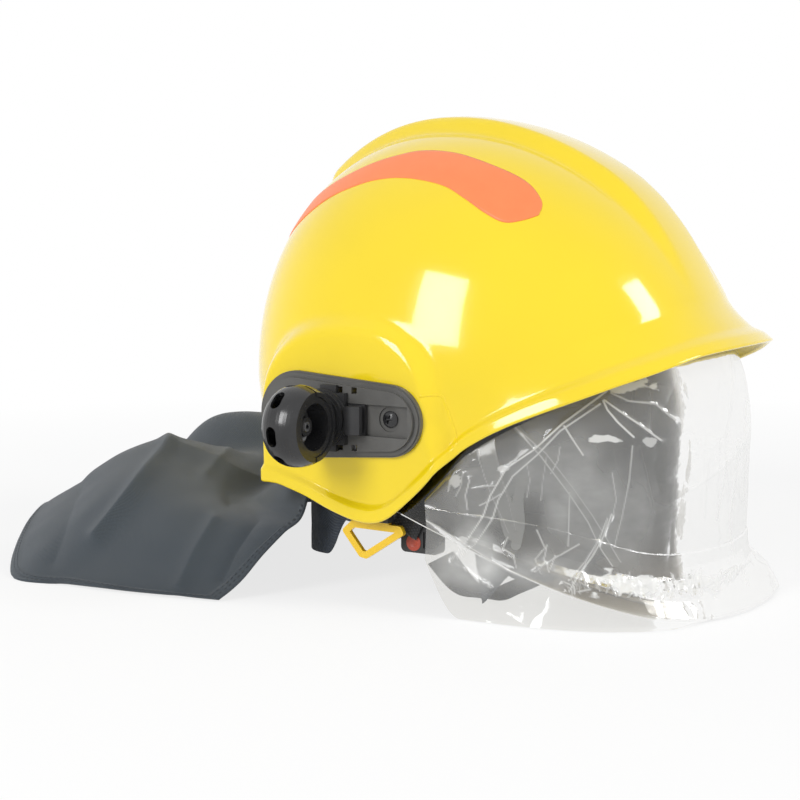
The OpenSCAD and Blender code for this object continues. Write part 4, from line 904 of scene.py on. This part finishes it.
def stitches(name, line, normal, pitch=3.4, length=2.4, thick=0.42):
    """A row of stitches along a line: short threads that arch over the cloth."""
    run = run_along(line)
    rings, sides = 5, 6
    starts = np.arange(pitch / 2, run[-1] - length, pitch)
    arch = np.linspace(0, 1, rings)
    at = starts[:, None] + length * arch[None, :]

    def pick(data):
        return np.stack([np.interp(at, run, data[:, i]) for i in range(3)], -1)

    mid, out = pick(line), unit(pick(normal))
    mid = mid + out * (thick * (0.9 * np.sin(np.pi * arch) - 0.25))[None, :, None]
    ahead = unit(np.gradient(mid, axis=1))
    side = unit(np.cross(ahead, out))
    spin = np.linspace(0, 2 * np.pi, sides, endpoint=False)
    half = thick / 2 * (0.35 + 0.65 * np.sin(np.pi * arch))[None, :, None, None]
    tube = mid[:, :, None] + half * (out[:, :, None] * np.cos(spin)[None, None, :, None]
                                     + side[:, :, None] * np.sin(spin)[None, None, :, None])
    faces = []
    for n in range(len(starts)):
        faces += grid_faces(rings, sides, False, True, n * rings * sides)
        first, last = n * rings * sides, (n * rings + rings - 1) * sides
        faces += [[first + i for i in range(sides)][::-1], [last + i for i in range(sides)]]
    obj = make_object(name, tube, faces, thread)
    add_uv(obj, np.stack([tube[..., 0] + tube[..., 1], tube[..., 2]], -1) * MM)


# Cape: the cloth hangs from its rail and lies folded on the table. Each row runs from the rail down
# to the hem, at one turn round the shell.
rail_z0 = rear_rim_z + 7
rail_z1 = rail_z0 + 10
cape_in = 6.9
cape_turns = [246, 232, 221, 210, 200, 189, 178, 166, 152, 138, 122]
cape_rows = [
    [[-76, -113, 46], [-82, -121, 36], [-90, -131, 24], [-98, -141, 11], [-107, -150, 1.6]],
    [[-96, -106, 46], [-106, -121, 40], [-124, -137, 28], [-142, -150, 14], [-156, -159, 1.6]],
    [[-118, -92, 45], [-136, -108, 48], [-163, -127, 42], [-187, -146, 21], [-205, -163, 1.6]],
    [[-136, -72, 45], [-157, -86, 54], [-193, -106, 56], [-226, -131, 34], [-250, -162, 1.6]],
    [[-147, -48, 45], [-170, -56, 60], [-217, -63, 70], [-262, -72, 52], [-299, -86, 24]],
    [[-153, -22, 45], [-177, -25, 58], [-226, -27, 66], [-275, -31, 48], [-316, -36, 8]],
    [[-154, 4, 45], [-178, 4, 56], [-223, 6, 54], [-262, 8, 38], [-298, 12, 4]],
    [[-151, 31, 45], [-173, 35, 62], [-224, 42, 76], [-268, 50, 64], [-310, 56, 18]],
    [[-140, 62, 45], [-160, 71, 58], [-203, 83, 62], [-242, 94, 42], [-276, 105, 3]],
    [[-118, 86, 45], [-133, 99, 46], [-160, 118, 36], [-184, 134, 17], [-201, 146, 1.6]],
    [[-88, 106, 46], [-94, 114, 40], [-104, 124, 28], [-112, 133, 14], [-118, 140, 1.6]],
]
cape_t = 1.1
cape_low = 0.9
cape_hem = 8
cape_soft = 2.4
stitch_insets = (1.2, 4.4)
stitch_top = 0.28
# Folds of the cape in pixels of the photograph: height in mm, half width in pixels, line
cape_folds = [
    [4.5, 9, [[168, 446], [145, 475], [118, 508], [96, 535]]],
    [3.0, 8, [[170, 444], [200, 452], [238, 470], [262, 480]]],
    [-4.5, 16, [[232, 498], [275, 503], [322, 512]]],
    [2.2, 7, [[268, 478], [300, 488], [338, 510]]],
    [-2.5, 12, [[80, 480], [66, 520], [52, 560]]],
    [2.4, 9, [[215, 520], [196, 552], [180, 585]]],
    [1.8, 8, [[245, 438], [226, 452], [205, 474]]],
    [-1.8, 8, [[258, 520], [236, 552], [222, 580]]],
]


def cape_sheet():
    nu, nv = 360, 210
    net = np.array([
        [dome_point(t, rail_z1 - 3, cape_in).tolist(), dome_point(t, rail_z0 - 9, cape_in).tolist()] + rows
        for t, rows in zip(cape_turns, cape_rows)])
    v = np.linspace(0, net.shape[1] - 1, nv)
    mid = spread(np.stack([along(line, v) for line in net]), nu)
    normal = upward_normals(mid)
    share = v[None, :] / v[-1]
    lift = cape_soft * fractal(mid, (0.012, 0.012, 0.012), 3)
    places = to_pixels(mid)
    near = smooth(20, -20, mid[..., 1])
    for height, half, line in cape_folds:
        d = line_distance(places, line) / half
        lift += near * height * (0.4 * np.exp(-d ** 2) + 0.7 * np.exp(-1.3 * d))
    mid = mid + normal * (lift * smooth(0.25, 0.5, share))[..., None]
    mid[..., 2] = np.maximum(mid[..., 2], cape_low)
    lengths_v = run_along(mid[nu // 2])
    lengths_u = run_along(mid[:, -1])
    edge = np.minimum((lengths_v[-1] - lengths_v)[None, :],
                      np.minimum(lengths_u, lengths_u[-1] - lengths_u)[:, None])
    thick = cape_t * (1 + 0.75 * smooth(cape_hem + 0.8, cape_hem - 0.4, edge) * smooth(0, 1.2, edge))
    cape = sheet_object("neck_cape", mid, thick, cape_cloth, uv=cloth_uv(lengths_u, lengths_v))
    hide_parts("cape")
    face = mid + upward_normals(mid) * (thick / 2)[..., None]
    top = int(stitch_top * nv)
    for row, stitch_inset in enumerate(stitch_insets):
        inset = cape_hem - stitch_inset
        column = int(np.argmin(np.abs(lengths_v[-1] - lengths_v - inset)))
        first = int(np.argmin(np.abs(lengths_u - inset)))
        last = nu - 1 - first
        line, out = (np.concatenate([grid[first, top:column], grid[first:last, column],
                                     grid[last, top:column][::-1]]) for grid in (face, normal))
        stitches(f"cape_stitching_{row + 1}", line, out)


# Curtains of thinner cloth over the ears, sewn to the liner's lower edge. Shares u run from their
# rear edge to their front one.
curtain_t = 1.2
curtain_top = liner_z0 - 0.5
curtain_in = liner_gap + 1.4
curtain_low = 3
curtain_drape = [9, 14]
curtain_gather = [17, 38]
curtain_gather_u = [0.2, 0.34]
curtain_front_u = [0.74, 0.86]
curtain_front_rise = 22
curtain_turns = [124, 67]
curtain_lean = 23
curtain_flare = 4
curtain_fold = 2.6
curtain_folds = 2.5
curtain_soft = 1.6
notch_x = [-4, 27]
notch_z = 40.6


def ear_curtain(side, gather):
    """side is 1 on the left and -1 on the right, and gather how far the hem is drawn up, rear and middle."""
    nu, nv = 220, 130
    u = np.linspace(0, 1, nu)[:, None]
    v = np.linspace(0, 1, nv)[None, :]
    a = curtain_turns[0] * (1 - u) + curtain_turns[1] * u
    top = dome_point(a, curtain_top, curtain_in)
    drawn = smooth(curtain_gather_u[0], curtain_gather_u[1], u)
    hem = (curtain_low + (gather[0] * (1 - drawn) + gather[1] * drawn) * smooth(*curtain_front_u[::-1], u)
           + curtain_front_rise * smooth(curtain_front_u[1], 1, u))
    foot_x = top[..., 0] + curtain_lean * u * u
    notch = smooth(notch_x[0] - 3, notch_x[0] - 1, foot_x) * smooth(notch_x[1] + 3, notch_x[1] + 1, foot_x)
    hem = np.maximum(hem, notch * notch_z)
    fold = curtain_fold * sind(360 * curtain_folds * u) * smooth(0, 0.5, v)
    x = top[..., 0] + curtain_lean * u * u * v
    y = top[..., 1] + fold * sind(a) + curtain_flare * u * v
    z = curtain_top * (1 - v) + hem * v
    mid = np.stack([x + 0 * v, y, z], -1)
    soft = fractal(mid, (0.03, 0.03, 0.03), 3, 7 * side)
    mid[..., 1] -= curtain_soft * np.abs(soft) * smooth(0.05, 0.4, v)
    mid[..., 1] *= side
    lengths_v = run_along(mid[nu // 3])
    lengths_u = run_along(mid[:, nv // 2])
    uv = cloth_uv(lengths_u, lengths_v)
    name = side_name(side)
    curtain = sheet_object("ear_cloth_" + name, mid, curtain_t, curtain_cloth, uv=uv)
    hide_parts("ear_curtain_" + name)


# Webbing: a flat band along a path, with its width along a chosen direction
webbing_t = 1.4
webbing_half = 9
strap_y = 105.3
ear_across = [0.39, 0, 0.92]
floor_across = [1, 0, 0]
left_path = [
    [-68, strap_y, 73.4], [-38.5, strap_y, 61], [-17, strap_y, 52], [4, 102, 36], [15, 92, 13], [20, 76, 2.6],
    [20, 45, 1.2], [20, 0, 1.2], [20, -45, 1.2], [20, -74, 2.6], [15, -90, 12], [6, -99.5, 28],
]
left_widths = [ear_across] * 3 + [[0.7, 0, 0.7], [0.95, 0, 0.3]] + [floor_across] * 5 + [
    [0.95, 0, 0.3], [0.9, 0, 0.43]]
right_path = [[-68, strap_y, 73.4], [-38.5, strap_y, 61], [-17, strap_y, 52], [-3, 104.3, 45.5]]


def webbing_band(name, path, widths, per, mirror=False, half=webbing_half, band_t=webbing_t):
    s = np.linspace(0, len(path) - 1, (len(path) - 1) * per + 1)
    line = along(path, s)
    ahead = unit(np.gradient(line, axis=0))
    wide = along(widths, s)
    wide = unit(wide - ahead * (wide * ahead).sum(-1, keepdims=True))
    j = np.linspace(-1, 1, 15)
    mid = line[:, None] + wide[:, None] * (half * j)[None, :, None]
    thick = band_t * (1 - 0.45 * smooth(0.86, 1.0, np.abs(j)))
    if mirror:
        mid = mid * np.array([1, -1, 1])
    run = run_along(line)
    return sheet_object(name, mid, thick, webbing, uv=cloth_uv(run, half * j)), run[-1]


def chin_straps():
    for side, path, widths in ((1, left_path, left_widths), (-1, right_path, [ear_across] * 4)):
        name = side_name(side)
        strap, run = webbing_band("chin_webbing_" + name, path, widths, 14, mirror=side < 0)
        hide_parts("chin_strap_" + name)


# Crown straps: two bands of webbing that cross over the head
crown_z0 = 120
band_straight = 30
crown_half = 10
crown_t = 0.9
crown_drop = 24
rear_drop = 7.7
crown_r = [76.8, 77.8]


def crown_straps():
    turn = np.linspace(0, 90, 13)
    r, r_cross = crown_r
    half_straight = band_straight / 2
    fore = [[head_x + half_straight + r * cosd(t), 0, crown_z0 + r * sind(t)] for t in turn]
    aft = [[head_x - half_straight - r * cosd(t), 0, crown_z0 + r * sind(t)] for t in turn[::-1]]
    long = [[fore[0][0], 0, crown_z0 - crown_drop]] + fore + aft + [[aft[-1][0], 0, crown_z0 - rear_drop]]
    over = [[head_x, r_cross * cosd(t), crown_z0 + r_cross * sind(t)] for t in np.linspace(0, 180, 25)]
    foot_left, foot_right = ([head_x, y, crown_z0 - crown_drop] for y in (r_cross, -r_cross))
    cross = [foot_left] + over + [foot_right]
    for name, path, across in (("crown_webbing_long", long, [0, 1, 0]),
                               ("crown_webbing_cross", cross, [1, 0, 0])):
        strap, run = webbing_band(name, path, [across] * len(path), 6, half=crown_half, band_t=crown_t)
        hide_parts("crown_straps")


# Pads: crowned forms whose sewn channels pull in
pad_t = 5
pad_deg = 58
pad_h = 24
pad_z0 = 84
brow_r = 71.2
brow_x = 3
crown_pad_r = 27
crown_pad_out = 76


def cushion(name, rings, node):
    """A padded piece that stands for a node."""
    pad = closed_ring(name, rings, pad_cloth)
    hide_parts(node)


def brow_pad():
    """Round the front of the headband, in sewn channels side by side."""
    nu, nv, channels = 241, 48, 9
    u = np.linspace(-1, 1, nu)[:, None]
    t = np.linspace(0, 2 * np.pi, nv, endpoint=False)[None, :]
    seam = np.abs(sind(90 * channels * (u + 1)))
    puff = 0.5 + 0.5 * seam ** 0.45
    end = (1 - np.abs(u) ** 14) ** 0.5
    across = signed_pow(np.cos(t), 0.55) * pad_t / 2 * puff * (0.25 + 0.75 * end)
    high = signed_pow(np.sin(t), 0.62) * (pad_h / 2) * (0.94 + 0.06 * seam ** 0.5) * (0.6 + 0.4 * end)
    r = brow_r + np.maximum(across, -pad_t / 2)
    a = pad_deg * u
    rings = np.stack([brow_x + r * cosd(a), r * sind(a), pad_z0 + pad_h / 2 + high + 0 * a], -1)
    cushion("brow_cushion", rings, "brow_pad")


def crown_pad():
    """A round quilted pad under the crossing of the crown straps."""
    nu, nv = 30, 96
    t = 2 * np.pi * np.arange(nv)[None, :] / nv
    k = np.linspace(0, 1, nu)[:, None]
    most = math.degrees(math.asin(crown_pad_r / crown_pad_out))
    swell = (1 - k ** 6) ** 0.5
    quilt = 1 - 0.3 * np.exp(-((k - 0.55) / 0.05) ** 2) - 0.22 * k * np.abs(np.cos(3 * t)) ** 24
    upper = crown_pad_out - 0.6 - (1 - swell) * pad_t / 2 + 0 * t
    lower = crown_pad_out - pad_t + (1 - swell * quilt) * pad_t / 2
    rings = []
    for radius, order in ((upper, slice(1, None)), (lower, slice(None, 0, -1))):
        a = most * k[order]
        r = radius[order]
        rings.append(np.stack([head_x + r * sind(a) * np.cos(t), r * sind(a) * np.sin(t),
                               crown_z0 + r * cosd(a) + 0 * t], -1))
    cushion("crown_cushion", np.concatenate(rings), "crown_pad")


# Chin cup: a padded oblong with a dished face and a bound edge
chin_x = 20
chin_half = [15.8, 27.8]
chin_low = 2.4
chin_profile = [[0.05, 0], [0.5, 0], [0.86, 0.1], [0.96, 1.2], [1.0, 3.0], [0.985, 4.0], [1.0, 5.0],
                [0.975, 6.6], [0.9, 7.7], [0.8, 7.4], [0.6, 5.9], [0.35, 4.9], [0.05, 4.6]]


def chin_cup():
    nv = 96
    t = 2 * np.pi * np.arange(nv) / nv
    out = spread(chin_profile, 73)
    x = chin_half[0] * signed_pow(np.cos(t), 0.62)[None, :] * out[:, :1]
    y = chin_half[1] * signed_pow(np.sin(t), 0.62)[None, :] * out[:, :1]
    rings = np.stack([chin_x + x, y, chin_low + out[:, 1:] + 0 * y], -1)
    cushion("chin_cushion", rings, "chin_cup")


# Seam of the shell's side panel: a thin ridge in front of the ear, on both sides
panel_line = [[78.5, 118.5], [77.4, 119.0], [76.2, 119.2], [75.2, 118.2], [74.6, 115], [73, 102.5], [72, 93]]
seam_steps = 120
seam_half = 0.75
seam_high = 0.4
seam_sunk = 0.05


def panel_seam(side):
    places = spread(panel_line, seam_steps + 1)
    line = shell_point(places[:, 0], places[:, 1], 0)
    beside = shell_point(places[:, 0] + 0.5, places[:, 1], 0)
    above = shell_point(places[:, 0], places[:, 1] + 0.5, 0)
    out = unit(np.cross(beside - line, above - line))
    out *= np.sign(out[:, 1:2])
    ahead = unit(np.gradient(line, axis=0))
    across = unit(np.cross(ahead, out))
    spin = 2 * np.pi * np.arange(10) / 10
    step = np.arange(seam_steps + 1)[:, None]
    share = 0.4 + 0.6 * smooth(0, 6, step) * smooth(seam_steps, seam_steps - 8, step)
    rings = (line[:, None] + across[:, None] * (seam_half * np.cos(spin))[None, :, None]
             + out[:, None] * (seam_high * np.sin(spin) * share - seam_sunk)[:, :, None])
    rings[..., 1] *= side
    seam = closed_ring("panel_seam_" + side_name(side), rings, yellow)


# Materials of the pieces that keep their own solid
def dress_nodes():
    finishes = {
        plate_grey: ["side_plate_right", "side_plate_left"],
        steel: ["plate_nuts", "pivot_bolts", "size_pinion", "strap_anchors", "loop_pins"],
        chrome: ["lamp_insert"],
        black_satin: ["pivot_spacers", "lamp_carriage", "lamp_latch", "lamp_turntable", "headband",
                      "harness_clips", "size_housing", "size_knob", "strap_slider", "buckle_body",
                      "loop_brackets", "cape_rail", "cape_studs"],
        black_gloss: ["lamp_cup", "lamp_collar", "plate_screws"],
        nylon: ["size_rack_left", "size_rack_right"],
        button_red: ["buckle_button"],
        loop_yellow: ["strap_loop_right", "strap_loop_left"],
        liner_foam: ["impact_liner", "liner_spacers"],
    }
    for material, names in finishes.items():
        for name in names:
            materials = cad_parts[name].data.materials
            materials.clear()
            materials.append(material)


# Stage, light and camera
floor_half = 6
floor_near, floor_far = 0.42, 0.95
floor_white_share = 0.78


def stage():
    """A pale floor that fades to plain white away from the helmet, and a white world behind it."""
    s = Shader("floor_white")
    where = s.add("NewGeometry").outputs["Position"]
    away = s.add("VectorMath", {0: where}, operation="LENGTH").outputs["Value"]
    share = s.math("MULTIPLY", s.ramp(away, floor_near, floor_far, floor_white_share, 1.0), s.in_view())
    matt = s.add("BsdfDiffuse", {"Color": (0.94, 0.94, 0.94)})
    white = s.add("Emission", {"Color": (1, 1, 1), "Strength": 1.0})
    mesh = bpy.data.meshes.new("floor")
    corners = [(x * floor_half, y * floor_half, 0) for x, y in ((-1, -1), (1, -1), (1, 1), (-1, 1))]
    mesh.from_pydata(corners, [], [[0, 1, 2, 3]])
    floor = add_to_scene("floor", mesh)
    mesh.materials.append(s.finish(s.blend(share, matt, white)))
    w = Shader("studio", world=True)
    soft = w.add("Background", {"Color": (0.97, 0.985, 1), "Strength": 0.45})
    plain = w.add("Background", {"Color": (1, 1, 1)})
    bpy.context.scene.world = w.finish(w.blend(w.in_view(), soft, plain), "OutputWorld")


# Lamps: place, aim and size in metres, power, and whether gloss shows it
lamps = {
    "front_box": [(-0.33, -1.53, 0.79), (-0.03, -0.1, 0.15), (0.42, 0.82), 13, True],
    "side_box": [(1.55, 0.14, 1.11), (0.1, -0.06, 0.16), (0.46, 0.7), 14, True],
    "rear_fill": [(-2.0, 0.3, 0.9), (0, 0, 0.12), (1.6, 1.6), 8, False],
}


def aimed(name, data, place, ahead):
    obj = add_to_scene(name, data)
    obj.location = place
    obj.rotation_euler = Vector(ahead).to_track_quat("-Z", "Y").to_euler()
    return obj


def lights_and_camera():
    for name, (place, aim, size, power, in_gloss) in lamps.items():
        data = bpy.data.lights.new(name, "AREA")
        data.shape = "RECTANGLE"
        data.size, data.size_y = size
        data.energy = power
        aimed(name, data, place, Vector(aim) - Vector(place)).visible_glossy = in_gloss
    data = bpy.data.cameras.new("camera")
    data.lens, data.sensor_width = camera_lens, camera_sensor
    data.clip_start, data.clip_end = 0.05, 50
    bpy.context.scene.camera = aimed("camera", data, camera_at * MM, camera_ahead())
    bpy.context.scene.view_settings.view_transform = "Standard"


lights_and_camera()
stage()
dress_nodes()
outer_shell()
orange_stripe()
visor_shield()
loose_film()
cape_sheet()
ear_curtain(1, curtain_drape)
ear_curtain(-1, curtain_gather)
chin_straps()
crown_straps()
brow_pad()
crown_pad()
chin_cup()
panel_seam(1)
panel_seam(-1)
